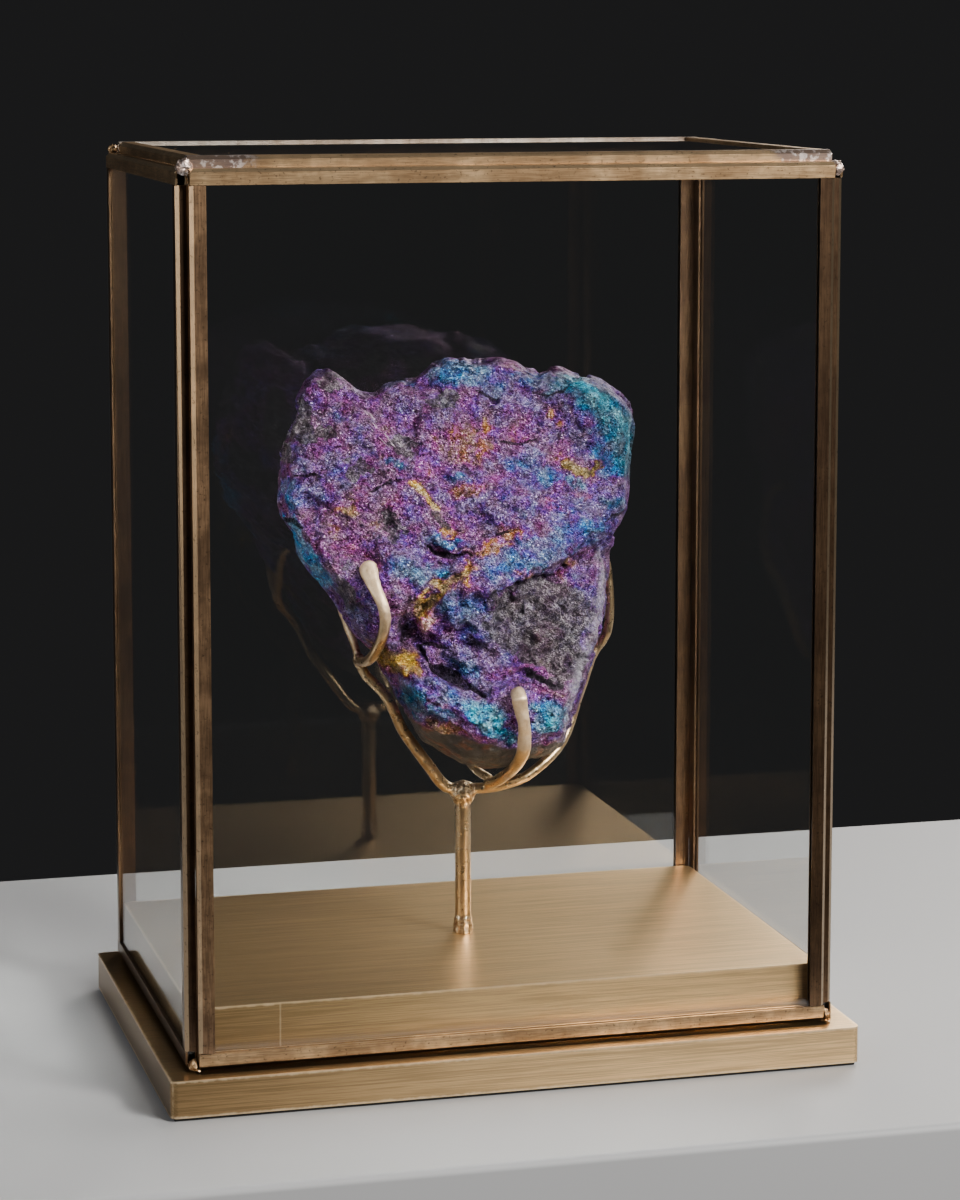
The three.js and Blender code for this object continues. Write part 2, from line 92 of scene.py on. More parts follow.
# Between these heights, in millimetres, a claw goes from plain rod to its flattened pale end.
PALE_FROM = {
    "left_front_claw": (173, 188),
    "left_rear_prong": (162, 172),
    "front_claw": (121, 136),
    "back_prong": (114, 124),
}
# Hammered ends of two claws, in the stone's frame and millimetres: middle line from the tip, then
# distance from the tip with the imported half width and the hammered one, and the tip's roundness.
CLAW_ENDS = {
    "left_front_claw": (
        ((-38, 1.2), (-36.5, -4.3), (-34.1, -10.1), (-31.2, -16.6), (-30.2, -22.9), (-31.4, -29.3)),
        ((0, 2.4, 4.1), (4, 2.9, 3.7), (8, 3.5, 3.05), (12, 3.8, 2.6), (17, 3.1, 2.3), (22, 2.4, 2.2),
         (25, 2.4, 2.4)),
        4.0,
    ),
    "front_claw": (
        ((23.4, -50.8), (24.4, -54.2), (25.2, -59.4), (26.4, -64.5), (26.8, -69.6), (26.6, -75.2)),
        ((0, 2.6, 3.1), (4, 2.8, 3.2), (9, 3.1, 2.8), (14, 3.1, 2.5), (18, 3.0, 2.6), (22, 2.9, 2.9)),
        2.2,
    ),
}
# Edges sharper than the first angle are bevelled; faces that meet at less than the second shade as one.
BEVEL_ANGLE = math.radians(35)
SMOOTH_ANGLE = math.radians(40)
ORE_SMOOTH_ANGLE = math.radians(50)
MERGE_GAP = 0.002 * MM
# How far a corner may lie from where a strip's end, or an edge's way, is looked for.
END_SLACK = 0.1 * MM
WAY_SLACK = 0.01 * MM
# A distance in mm that is farther than any that matters.
FAR = 99.0

FELT_ROUND = 0.4 * MM

STAND_GRID = 0.45 * MM
STAND_WELD = 0.2 * MM
STAND_RELAX = 16
STAND_SWELL = 0.3

BEAD_GRID = 0.3 * MM
BEAD_LUMP = 0.7
# How much a bead is swollen (+) or filed down (-) and how far it has run down.
BRIGHT_BEADS = {"bead_top_front_left": (0.0, 0.5), "bead_top_front_right": (-0.4, 3.5)}
TARNISHED_BEAD = (-0.9, 0)

# ---------------------------------------------------------------- the stone

# Its frame: u to the right, v away from the front, w up, in millimetres from its middle.
ORE_CENTRE = Vector((-1.5, 2.8, 199.5)) * MM
ORE_ROTATION = Euler((math.radians(-9.0), 0, math.radians(-14.6)), "XYZ")
ORE_RELAX = 2
# Where the stand is this near, in mm, the stone's plates don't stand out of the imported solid.
ORE_CLEAR = 2.6
# A distance from cracks, in mm, at which no crack shows.
NO_CRACK = 4.0
GRAIN_TURN = math.radians(-34)
GRAIN_STRETCH = 1.45
NEEDLE_TURN = math.radians(47)
FACET_STRETCH = 1.6

# Broken plates: size, how steeply each may tilt, and the width of the seam between two, in mm.
PLATES = ((26.0, 0.10, 2.0), (11.0, 0.24, 0.7), (4.6, 0.42, 0.5))
# Each plate's tilt is drawn from its middle, scattered and shifted by these.
TILT_SCATTER = 31.7
TILT_SEED = Vector((5.2, 1.3, 8.8))
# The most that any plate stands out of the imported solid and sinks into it, in mm.
PLATE_REACH = 0.8
PLATE_SINK = 1.6

# Clefts and hollows of the front: points, half width in their middle and depth, in mm.
CLEFTS = {
    "lens_cleft": ([(-13, 8), (-10, 6), (-7, 4.5), (-1, 3.5), (5, 4.5)], 1.1, 2.6),
    "lower_gash": ([(-17, -34), (-11, -41), (-5, -44), (1, -47.5), (6, -50.5), (10, -53)], 1.4, 3.4),
    "brow_cut": ([(10, -17), (16, -12.5), (23, -9), (31, -6), (38, -4.5), (44, 0)], 1.5, 2.4),
    "gold_trough": ([(-15, -19), (-11, -14), (-6, -9.5), (1, -5), (5, -2)], 2.8, 2.6),
    "claw_shade": ([(-21, -23), (-22, -28), (-24, -33)], 1.8, 1.8),
    "brown_hollow": ([(1, -33), (8, -34), (15, -37)], 1.8, 1.6),
    "curl_hollow": ([(29, -45), (33, -46.5), (37, -49)], 1.3, 2.8),
    "right_notch": ([(70, 23), (65, 20), (60, 16)], 1.1, 1.6),
    "slab_crease": ([(44, 72), (46, 64), (49, 57), (54, 52)], 1.4, 1.2),
    "long_crease": ([(-52, 62), (-42, 51), (-25, 38), (-16, 29), (-7, 22)], 1.0, 0.8),
}
# Hairline cracks: points and half width in mm.
CRACKS = {
    "middle_crack": ([(16, 51), (21, 50), (26, 49.5), (32, 52)], 0.45),
    "top_crack": ([(6, 72.5), (9, 71), (13, 69.5), (18, 69)], 0.5),
    "notch_crack": ([(28, 72), (34, 70.5), (37.5, 69), (42, 71.5), (45, 74)], 0.5),
    "left_crack": ([(-37, 30.5), (-32, 33), (-28, 35), (-22, 34.8)], 0.45),
    "edge_crack": ([(-69, 36.5), (-61, 37), (-54, 35)], 0.4),
    "lens_crack": ([(-14, 8.5), (-10, 6), (-7, 4.3), (-1, 3.4), (5, 4.4)], 0.9),
    "gash_crack": ([(-18, -33), (-11, -40.5), (-5, -43.5), (1, -47), (6, -50), (10, -52.5)], 0.8),
    "ledge_crack": ([(12, 11), (18, 13), (25, 14)], 0.4),
    "notch_edge": ([(-74, 19), (-69, 18.5), (-64, 15)], 0.7),
    "right_crack": ([(70, 23), (65, 20), (60, 16)], 0.5),
    "curl_crack": ([(29, -45), (33, -46.5), (38, -49)], 1.0),
    "lobe_crack": ([(-18, -33), (-11, -33), (-5, -35)], 0.6),
}
# Standing lips and curls of the front.
RIDGES = {
    "lens_lip": ([(-12, 10), (-4, 9.5), (4, 7.5)], 2.4, 1.2),
    "upper_curl": ([(22, -43.5), (27, -42), (32, -42.5), (36, -44)], 1.2, 2.4),
    "lower_curl": ([(28, -51), (31, -48.5), (35, -50)], 1.1, 1.8),
    "right_arris": ([(58, 7), (59, -5), (58, -18), (55, -30), (50, -42), (45, -58), (43, -76)], 1.6, 1.0),
    "pink_lobe": ([(-15, -20), (-12, -24), (-8, -29)], 3.2, 3.0),
    "brow_lip": ([(10, -12), (16, -8), (26, -2), (38, 2), (46, 6)], 2.6, 1.0),
    "gash_lip": ([(-14, -46), (-6, -49), (2, -53)], 2.4, 1.4),
}

# Tarnish of the front, in ovals: middle u and w, half sizes, turn in degrees, film from 0 gold to
# 1 turquoise, how much of it shows, and how much lighter or darker it is in stops.
FILMS = {
    "upper_mauve": (-22, 60, 22, 14, -20, 0.40, 0.7, 0.0),
    "middle_peach": (1, 50, 13, 10, 0, 0.20, 0.8, -0.05),
    "right_violet": (50, 22, 17, 11, 10, 0.62, 0.7, 0.1),
    "centre_violet": (14, 20, 15, 9, -15, 0.52, 0.8, 0.0),
    "left_rose": (-38, 20, 17, 14, 0, 0.27, 0.7, 0.15),
    "left_purple": (-28, 3, 14, 9, -20, 0.44, 0.8, 0.0),
    "top_blue": (1, 80, 13, 6, 0, 0.80, 0.9, 0.3),
    "top_indigo": (16, 76, 10, 6, 0, 0.60, 0.8, -0.2),
    "top_pink": (21, 84, 5, 2, 0, 0.30, 0.8, 0.2),
    "top_slate": (31, 77, 8, 4, 0, 0.70, 0.8, -0.1),
    "top_dark": (-8, 75, 5, 3, 0, 0.70, 0.9, -0.7),
    "shoulder": (-27, 76, 9, 2.5, 0, 0.66, 0.8, 0.0),
    "corner_ink": (59, 51, 9, 6, -40, 0.70, 0.9, -0.8),
    "corner_blue": (63, 41, 8, 6, 0, 0.76, 0.8, 0.0),
    "needle_rose": (-34, 56, 10, 6, -45, 0.34, 0.6, 0.0),
    "slate_oval": (0, 35.5, 5, 2.2, -5, 0.73, 1.0, 0.1),
    "slate_patch": (25, 42, 9, 3.5, -8, 0.70, 0.8, 0.0),
    "slate_right": (38, 36, 7, 3, -10, 0.74, 0.8, 0.1),
    "cyan_patch": (48, 34, 3, 2, 0, 0.88, 0.8, 0.3),
    "coral_a": (38, 24.5, 4, 1.5, 0, 0.24, 0.9, 0.3),
    "coral_b": (51, 29, 4, 1.6, 0, 0.28, 0.8, 0.3),
    "right_blue": (64, 26, 5, 3, 0, 0.80, 0.8, 0.0),
    "dark_red": (20, 14, 5, 2.6, 10, 0.20, 0.9, -0.7),
    "copper_stripe": (4, 30, 8, 2.4, 10, 0.13, 0.85, 0.0),
    "copper_spot": (-5, 13.5, 4.5, 2.4, -30, 0.10, 0.9, 0.3),
    "copper_top": (12.5, 56, 2, 3, 0, 0.10, 0.8, 0.2),
    "copper_left": (-46, 23, 5, 2.5, 0, 0.15, 0.7, 0.0),
    "left_salmon": (-37, 15, 6, 3.5, 0, 0.24, 0.7, 0.2),
    "ink_spot": (-26, 41.5, 5, 2.4, -15, 0.74, 1.0, -0.4),
    "lilac_spot": (-32, 44, 2, 1.5, 0, 0.50, 1.0, 1.0),
    "left_steel": (-69, 29, 6, 7, 0, 0.76, 0.9, 0.4),
    "left_indigo": (-61, 29, 7, 6, 0, 0.60, 0.8, 0.1),
    "horn_violet": (-60, 79, 3, 4, 0, 0.46, 0.8, 0.7),
    "claw_right": (-24, -1, 8, 4, 0, 0.72, 0.8, -0.1),
    "claw_steel": (-13, -4, 9, 3.5, 15, 0.78, 0.85, 0.15),
    "cyan_spark": (-6, -4, 3, 2, 0, 0.88, 1.0, 0.8),
    "claw_blue": (-39, -19, 5, 6, 0, 0.64, 0.7, -0.2),
    "lens_blue": (-4, 9, 9, 2, -8, 0.74, 1.0, 0.1),
    "ledge_violet": (13, -4, 8, 8, 20, 0.55, 0.8, 0.1),
    "ledge_teal": (30, 0, 5, 3, 20, 0.84, 0.8, 0.2),
    "gold_spot_a": (36, 2, 1.5, 1.5, 0, 0.08, 0.9, 0.3),
    "gold_spot_b": (46, 1, 2.6, 2, 0, 0.12, 0.9, 0.3),
    "gold_spot_c": (28, -4.5, 3, 1.4, 0, 0.06, 0.9, 0.2),
    "gold_spot_d": (38, 62, 2.4, 4, 40, 0.06, 0.8, 0.2),
    "trough_dark": (-6, -9.5, 4, 2, 35, 0.03, 1.0, -1.2),
    "trough_cream": (-11, -14, 2.8, 2.4, 0, 0.02, 1.0, 1.6),
    "lobe_orange": (-14.5, -19.5, 3.6, 2.2, 0, 0.09, 1.0, 1.1),
    "lobe_pink": (-13, -23.5, 5, 4.6, 0, 0.25, 1.0, 1.75),
    "lobe_violet": (-9, -28, 4, 3.6, 0, 0.46, 0.9, 0.3),
    "blue_mass": (2, -19, 9, 7, 0, 0.72, 0.9, 0.1),
    "blue_low": (5, -27, 7, 5, 0, 0.64, 0.8, -0.1),
    "gash_blue": (3, -42, 4, 4, -30, 0.80, 0.9, 0.1),
    "gash_violet": (-4, -38, 6, 3, -20, 0.54, 0.9, -0.1),
    "curl_violet": (28, -47, 9, 6, 0, 0.46, 0.9, 0.1),
    "lip_lilac": (-10, -51, 11, 5, -25, 0.58, 0.85, 0.5),
    "lip_blue": (1, -56, 7, 4, -25, 0.68, 0.85, 0.5),
    "lip_pink": (-7, -58, 3, 2, 0, 0.30, 0.8, 0.4),
    "low_ink": (-20, -55, 7, 6, -30, 0.84, 0.9, -0.5),
    "low_ink_b": (-8, -62, 7, 3, -15, 0.84, 0.8, -0.4),
    "low_teal": (11, -62, 9, 6, -25, 0.93, 1.0, 0.4),
    "low_teal_b": (15, -69, 8, 2.6, -15, 0.92, 0.9, 0.0),
    "low_teal_right": (36, -62, 8, 8, 10, 0.87, 1.0, 0.3),
    "low_lilac": (30, -54, 4, 2.6, 0, 0.58, 0.8, 0.4),
}
# Tarnish in bands along a line: points, half width, film, how much shows, and the stops.
BANDS = {
    "corner_teal": ([(42, 72), (50, 72), (58, 67), (66, 59), (70, 50), (71, 42)], 7.5, 0.88, 1.0, -1.15),
    "corner_bright": ([(48, 76), (54, 73), (61, 67), (66, 62)], 2.2, 0.98, 1.0, 0.0),
    "corner_edge": ([(67, 60), (70, 54), (70, 47)], 2.0, 0.98, 0.8, -0.1),
    "corner_shade": ([(43, 69), (46, 62), (47, 55), (52, 49)], 4.0, 0.54, 0.9, -0.8),
    "magenta_streak": ([(28, 53), (33, 50), (38, 48), (43, 44), (48, 42)], 3.2, 0.31, 1.0, 0.2),
    "gold_crescent": ([(43, 42.5), (48, 39), (53, 37.8), (59, 40)], 2.3, -0.1, 1.0, -0.8),
    "gold_seam": ([(-17, 32), (-14, 29), (-11, 25)], 1.6, 0.02, 1.0, 0.8),
    "sparkling_seam": ([(-22, 42.5), (-18, 41.5), (-11, 37)], 2.2, 0.30, 0.9, 0.7),
    "ledge_blue": ([(15, 0), (26, 4), (38, 8), (52, 13)], 6.5, 0.70, 0.85, 0.15),
    "gold_strip": ([(4, 4), (9, 5), (13, 6), (17, 9), (25, 13)], 1.7, 0.12, 0.9, 0.3),
    "left_blue": ([(-69, 17), (-66, 8), (-62, 1), (-57, -7)], 3.6, 0.82, 1.0, 0.7),
    "trough": ([(-15, -19), (-11, -14), (-6, -9.5), (1, -5), (5, -2)], 3.2, 0.03, 1.0, 0.6),
    "olive_gold": ([(-33, -37), (-27, -40), (-20, -40)], 5.2, 0.01, 1.0, -0.2),
    "curl_top": ([(22, -43.5), (27, -42), (32, -42.5), (37, -44)], 1.3, 0.32, 0.9, 0.6),
    "rust": ([(-16, -65), (-8, -67), (1, -69.5)], 2.4, 0.14, 1.0, -0.1),
}
# Bare grey, granular rock: middle, half sizes, turn and strength.
BARE = {
    "hollow_grey": (33, -22, 24, 16, 8, 1.0),
    "hollow_low": (38, -38, 15, 12, -20, 1.0),
    "horn_tip": (-54, 76, 5, 5, -20, 0.75),
    "horn_left": (-66, 60, 5, 10, -15, 0.9),
    "horn_under": (-60, 54, 9, 4, 10, 0.85),
    "left_rim": (-73, 49, 3, 8, 0, 0.8),
    "left_spot": (-42, 39, 5, 6, -30, 0.8),
    "crease_spot": (-23, 49, 6, 4, 0, 0.85),
    "middle_spot": (-28, 16, 5, 9, 20, 0.65),
    "claw_spot": (-47, -12, 4, 9, 25, 0.8),
    "low_spot": (-46, 1, 5, 4, 0, 0.5),
    "top_spot": (-6, 68, 8, 3, 15, 0.85),
    "seam_spot": (-8, 19, 2.4, 6, 35, 0.7),
}
# Painted shade in recesses and pits, under the brow and beside the claw: middle, half sizes, turn and
# strength.
PAINTED_SHADE_SPOTS = {
    "claw_shade": (-23, -29, 3, 7, 15, 0.6),
    "brown_hollow": (9, -34.5, 7, 2.6, -12, 0.6),
    "under_brow": (30, -7, 14, 2.4, 14, 0.6),
    "brow_end": (47, 1.5, 7, 2, 10, 0.4),
    "curl_pit": (34, -47, 4.5, 1.6, -25, 0.9),
    "trough_edge": (-8, -6, 8, 1.0, 34, 0.6),
    "gold_top": (-28, -35.5, 6, 1.4, 0, 0.7),
}
# How far along the tarnish film each colour of the stone's settings lies.
FILM_COLOURS = {
    "gold": 0.0, "copper": 0.10, "rose": 0.20, "magenta": 0.29, "mauve": 0.40,
    "violet": 0.53, "indigo": 0.64, "blue": 0.76, "teal": 0.88, "turquoise": 1.0,
}
# White needles: middle, half sizes and turn of the patch that they cross.
NEEDLES = (-32, 55, 11, 4, -42)
# Smooth brown rock lies below this line of the front, u and w.
GROUND_LINE = ((-30, -60), (-14, -66.5), (-3, -69.5), (9, -73), (24, -76), (42, -73), (60, -60))

# ---------------------------------------------------------------- the stage

TABLE_SIZE = (1.8, 0.475, 0.045)
TABLE_MIDDLE = (0, 0.0625, -0.0225)
TABLE_ROUND = 3 * MM
CAMERA_PLACE = (-0.3525, -1.3460, 0.4218)
CAMERA_DOWN = math.radians(7.624)
CAMERA_YAW = math.radians(-14.957)
CAMERA_LENS = 100.63
CAMERA_SENSOR = 36
CAMERA_SHIFT = -0.10
CAMERA_NEAR = 0.05
# Soft boxes, each with its power among the settings: place, width, height and tint.
LAMPS = {
    "key": ((0.90, -1.25, 1.15), 0.35, 0.5, (1.0, 0.955, 0.89)),
    "sheen": ((1.05, 1.1, 0.85), 0.8, 0.5, (1.0, 0.94, 0.87)),
    "front": ((0.80, -1.6, 1.08), 0.35, 0.35, (1.0, 0.95, 0.89)),
    "edge": ((-1.25, -0.3, 0.36), 0.12, 0.6, (1.0, 0.89, 0.76)),
    "fill": ((-1.3, -0.5, 0.8), 0.8, 0.8, (0.94, 0.97, 1.0)),
}
LAMP_AIM = Vector((0, 0, 0.17))


# ---------------------------------------------------------------- shapes

def local_frame(points):
    """Points in metres as (u, v, w) millimetres in the stone's own frame."""
    turn = np.array(ORE_ROTATION.to_matrix())
    return (points - np.array(ORE_CENTRE)) @ turn / MM


def smooth(value, low, high):
    share = np.clip((value - low) / (high - low), 0, 1)
    return share * share * (3 - 2 * share)


def stretches(u, w, points):
    """For each stretch of a bent line: how far off it a place is, and how far along the line, 0 to 1."""
    count = len(points) - 1
    for k, ((u1, w1), (u2, w2)) in enumerate(zip(points, points[1:])):
        du, dw = u2 - u1, w2 - w1
        share = np.clip(((u - u1) * du + (w - w1) * dw) / (du * du + dw * dw), 0, 1)
        yield np.hypot(u - u1 - share * du, w - w1 - share * dw), (k + share) / count


def furrow(u, w, points, half):
    """1 along the middle of a bent line on the front, falling to 0 a half width away; its ends taper."""
    best = np.zeros(u.shape)
    for gap, way in stretches(u, w, points):
        wide = half * (0.35 + 0.65 * np.sin(np.pi * way))
        best = np.maximum(best, np.exp(-((gap / wide) ** 2)))
    return best


def line_gap(u, w, points, half):
    """Distance outside a bent line that is 2 half wide in its middle and thins to its ends."""
    least = np.full(u.shape, FAR)
    for gap, way in stretches(u, w, points):
        least = np.minimum(least, gap - half * (0.2 + 0.8 * np.sin(np.pi * way)))
    return least


def spot(u, w, middle_u, middle_w, half_u, half_w, turn):
    """1 inside a turned oval, 0 outside it."""
    cosine, sine = math.cos(math.radians(turn)), math.sin(math.radians(turn))
    along = ((u - middle_u) * cosine + (w - middle_w) * sine) / half_u
    across = ((w - middle_w) * cosine - (u - middle_u) * sine) / half_w
    return 1 - smooth(np.hypot(along, across), 0.72, 1.18)


def hammered_end(place, line, widths, tip):
    """A place on a claw, moved so that its blade has the hammered widths and a round tip."""
    own = Vector(local_frame(np.array(place)))
    flat = Vector((own.x, own.z))
    start = 0
    nearest = FAR
    for first, second in zip(line, line[1:]):
        way = Vector(second) - Vector(first)
        length = way.length
        way.normalize()
        share = min(max((flat - Vector(first)).dot(way), 0), length)
        middle = Vector(first) + way * share
        if (flat - middle).length < nearest:
            nearest = (flat - middle).length
            side = Vector((-way.y, way.x))
            offset = (flat - middle).dot(side)
            distance = start + share
            forward = way.copy()
        start += length
    distances, packed, hammered = zip(*widths)
    if distance >= distances[-1]:
        return Vector(place)
    width = np.interp(distance, distances, packed)
    part = max(-1, min(1, offset / width))
    widened = part * (np.interp(distance, distances, hammered) - width)
    drawn = tip * (1 - math.sqrt(1 - part * part)) * max(0, 1 - distance / (2.5 * tip))
    moved = flat + side * widened + forward * drawn
    shaped = Vector((moved.x, own.y, moved.y)) * MM
    return ORE_ROTATION.to_matrix() @ shaped + ORE_CENTRE


def plate_rise(place, size, slope, seam):
    """How far a tilted, broken plate stands out at a place, in millimetres."""
    distances, centres = noise.voronoi(place / size)
    rises = []
    for centre in centres[:2]:
        tilt = noise.cell_vector(centre * TILT_SCATTER + TILT_SEED) - Vector((0.5, 0.5, 0.5))
        rises.append(2 * slope * tilt.dot(place - centre * size) + slope * size * 0.3 * tilt.x)
    share = min(1, (distances[1] - distances[0]) * size / seam)
    return rises[0] * (0.5 + 0.5 * share) + rises[1] * (0.5 - 0.5 * share)


# ---------------------------------------------------------------- objects

def select_only(*pieces):
    bpy.ops.object.select_all(action="DESELECT")
    for piece in pieces:
        piece.select_set(True)
    bpy.context.view_layer.objects.active = pieces[0]


def merged_copy(node, name):
    """A copy of a CAD node with its loose triangles merged, ready to be shaped."""
    piece = bpy.data.objects.new(name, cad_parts[node].data.copy())
    piece.data.name = name
    piece.data.materials.clear()
    bpy.context.scene.collection.objects.link(piece)
    select_only(piece)
    bpy.ops.object.mode_set(mode="EDIT")
    bpy.ops.mesh.select_all(action="SELECT")
    bpy.ops.mesh.remove_doubles(threshold=MERGE_GAP)
    bpy.ops.object.mode_set(mode="OBJECT")
    return piece


def apply_modifier(piece, kind, **settings):
    select_only(piece)
    modifier = piece.modifiers.new(kind.lower(), kind)
    for key, value in settings.items():
        setattr(modifier, key, value)
    bpy.ops.object.modifier_apply(modifier=modifier.name)


def remeshed(piece, grid):
    apply_modifier(piece, "REMESH", mode="VOXEL", voxel_size=grid, adaptivity=0)


def square_ends(strip, along, full):
    """Turns mitred ends into butt joints: full strips reach the corners, the others end below them."""
    places, _ = vertex_arrays(strip)
    length = places[:, along]
    low, high = length.min(), length.max()
    inset = 0 if full else STRIP_WIDTH
    length = np.where(length < low + STRIP_WIDTH + END_SLACK, low + inset, length)
    places[:, along] = np.where(length > high - STRIP_WIDTH - END_SLACK, high - inset, length)
    move_vertices(strip, places)


def rounded(piece, width, segments=3):
    """Bevels the sharp edges of a copied solid, keeps its flat faces flat and shades it by angle."""
    apply_modifier(
        piece, "BEVEL", width=width, segments=segments, limit_method="ANGLE", angle_limit=BEVEL_ANGLE
    )
    bpy.ops.object.shade_smooth_by_angle(angle=SMOOTH_ANGLE)
    apply_modifier(piece, "WEIGHTED_NORMAL", keep_sharp=True)


def round_along(piece, axis, radius, least=-1.0):
    """Rounds the edges that run along an axis, only those past a least x."""
    mesh = piece.data
    weights = mesh.attributes.new("bevel_weight_edge", "FLOAT", "EDGE")
    for edge, weight in zip(mesh.edges, weights.data):
        first, last = (mesh.vertices[index].co for index in edge.vertices)
        way = last - first
        parallel = abs(way[axis]) > way.length - WAY_SLACK
        weight.value = 1 if parallel and first.x > least else 0
    apply_modifier(piece, "BEVEL", width=radius, segments=6, limit_method="WEIGHT")
    piece.data.attributes.remove(piece.data.attributes["bevel_weight_edge"])


def vertex_arrays(piece):
    """Places and outward directions of a piece's vertices."""
    mesh = piece.data
    places = np.empty(len(mesh.vertices) * 3, np.float32)
    normals = np.empty(len(mesh.vertices) * 3, np.float32)
    mesh.vertices.foreach_get("co", places)
    mesh.vertices.foreach_get("normal", normals)
    return places.reshape(-1, 3).astype(float), normals.reshape(-1, 3).astype(float)


def move_vertices(piece, places):
    piece.data.vertices.foreach_set("co", places.astype(np.float32).ravel())
    piece.data.update()


def keep_values(piece, name, values):
    """Stores one number for each vertex, for the material to read."""
    layer = piece.data.attributes.new(name, "FLOAT", "POINT")
    layer.data.foreach_set("value", np.asarray(values, np.float32))


def tree_of(node):
    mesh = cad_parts[node].data
    corners = [vertex.co for vertex in mesh.vertices]
    return BVHTree.FromPolygons(corners, [tuple(face.vertices) for face in mesh.polygons])


def install(piece, material, slot, *nodes):
    """Gives a finished piece its finish and puts it in the place of CAD nodes."""
    piece.data.materials.append(material)
    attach(piece, "root")
    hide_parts(*nodes)


def dress(node, material):
    """Gives a CAD node that stays as it is its finish."""
    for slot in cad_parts[node].material_slots:
        slot.material = material


# ---------------------------------------------------------------- shader trees

class Tree:
    """A shader tree being built: each call adds a node and returns what it puts out."""

    def __init__(self, tree):
        self.tree = tree

    def link(self, source, target):
        self.tree.links.new(source, target)

    def fill(self, sockets, values):
        """Sets sockets to plain values, or links them to other nodes' outputs."""
        for socket, value in zip(sockets, values):
            if isinstance(value, bpy.types.NodeSocket):
                self.link(value, socket)
            elif socket.type == "RGBA":
                socket.default_value = colour(value)
            else:
                socket.default_value = value

    def set(self, sockets, **values):
        """The same for sockets that are named."""
        self.fill([sockets[name.replace("_", " ")] for name in values], values.values())

    def shade(self, **values):
        """Sets or links sockets of the material's Principled shader."""
        self.set(self.tree.nodes["Principled BSDF"].inputs, **values)

    def node(self, kind, **values):
        node = self.tree.nodes.new(kind)
        self.set(node.inputs, **values)
        return node

    def group(self, name, **values):
        """Places a node group, which is made the first time it is asked for."""
        made = bpy.data.node_groups.get(name) or GROUP_MAKERS[name]()
        node = self.tree.nodes.new("ShaderNodeGroup")
        node.node_tree = made
        self.set(node.inputs, **values)
        return node.outputs

    def reckon(self, operation, *values, clamp=False):
        node = self.tree.nodes.new("ShaderNodeMath")
        node.operation = operation
        node.use_clamp = clamp
        self.fill(node.inputs, values)
        return node.outputs[0]

    def add(self, *values, **options):
        return self.reckon("ADD", *values, **options)

    def subtract(self, *values):
        return self.reckon("SUBTRACT", *values)

    def multiply(self, *values, **options):
        return self.reckon("MULTIPLY", *values, **options)

    def multiply_add(self, *values):
        return self.reckon("MULTIPLY_ADD", *values)

    def vector(self, operation, *values):
        node = self.tree.nodes.new("ShaderNodeVectorMath")
        node.operation = operation
        self.fill(node.inputs, values)
        return node.outputs[0]

    def scale(self, vector, amount):
        node = self.vector("SCALE", vector).node
        self.set(node.inputs, Scale=amount)
        return node.outputs[0]

    def placed(self, vector, **values):
        """A place as seen from a frame that is moved, turned and stretched."""
        node = self.node("ShaderNodeMapping", Vector=vector, **values)
        node.vector_type = "TEXTURE"
        return node.outputs[0]

    def blend(self, share, first, second, mode="MIX"):
        node = self.tree.nodes.new("ShaderNodeMix")
        node.data_type = "RGBA"
        node.blend_type = mode
        node.clamp_factor = True
        self.fill([node.inputs[0], node.inputs[6], node.inputs[7]], [share, first, second])
        return node.outputs[2]

    def spread(self, value, low, high, to_low=0.0, to_high=1.0):
        """Stretches a range of a value onto another, with soft ends."""
        node = self.node("ShaderNodeMapRange", Value=value)
        self.set(node.inputs, From_Min=low, From_Max=high, To_Min=to_low, To_Max=to_high)
        node.interpolation_type = "SMOOTHSTEP"
        return node.outputs[0]

    def cloud(self, vector, scale, detail=3.0, rough=0.5, twist=0.0):
        node = self.node("ShaderNodeTexNoise", Vector=vector, Scale=scale)
        self.set(node.inputs, Detail=detail, Roughness=rough, Distortion=twist)
        return node.outputs[0]

    def bump(self, height, distance, strength=1.0, **normal):
        node = self.node("ShaderNodeBump", Height=height, Distance=distance, Strength=strength, **normal)
        return node.outputs[0]

    def attribute(self, name):
        node = self.tree.nodes.new("ShaderNodeAttribute")
        node.attribute_name = name
        return node.outputs["Fac"]


def colour(value):
    return (value[0], value[1], value[2], 1.0)


def new_group(name, inputs, outputs):
    """An empty node group, its tree and sockets. An input without a default is a vector."""
    made = bpy.data.node_groups.new(name, "ShaderNodeTree")
    for socket_name, default in inputs.items():
        kind = "NodeSocketVector" if default is None else "NodeSocketFloat"
        socket = made.interface.new_socket(name=socket_name, in_out="INPUT", socket_type=kind)
        if default is not None:
            socket.default_value = default
    for socket_name in outputs:
        kind = "NodeSocketVector" if socket_name == "Tilt" else "NodeSocketFloat"
        made.interface.new_socket(name=socket_name, in_out="OUTPUT", socket_type=kind)
    start, end = made.nodes.new("NodeGroupInput"), made.nodes.new("NodeGroupOutput")
    return made, Tree(made), start.outputs, end.inputs


def patina_group():
    """Two sizes of handling blotches and fine dark pits."""
    made, tree, given, out = new_group(
        "patina", {"Vector": None, "Blotch Size": 0.02}, ("Blotch", "Mottle", "Pits")
    )
    scale = tree.reckon("DIVIDE", 1.0, given["Blotch Size"])
    blotch = tree.cloud(given["Vector"], scale, 4.0, 0.55, 0.6)
    mottle = tree.cloud(given["Vector"], tree.multiply(scale, 5.3), 4.0, 0.6)
    pits = tree.cloud(given["Vector"], tree.multiply(scale, 21.0), 2.0, 0.6)
    tree.link(tree.spread(blotch, 0.36, 0.64), out["Blotch"])
    tree.link(tree.spread(mottle, 0.36, 0.64), out["Mottle"])
    tree.link(tree.spread(pits, 0.60, 0.72), out["Pits"])
    return made


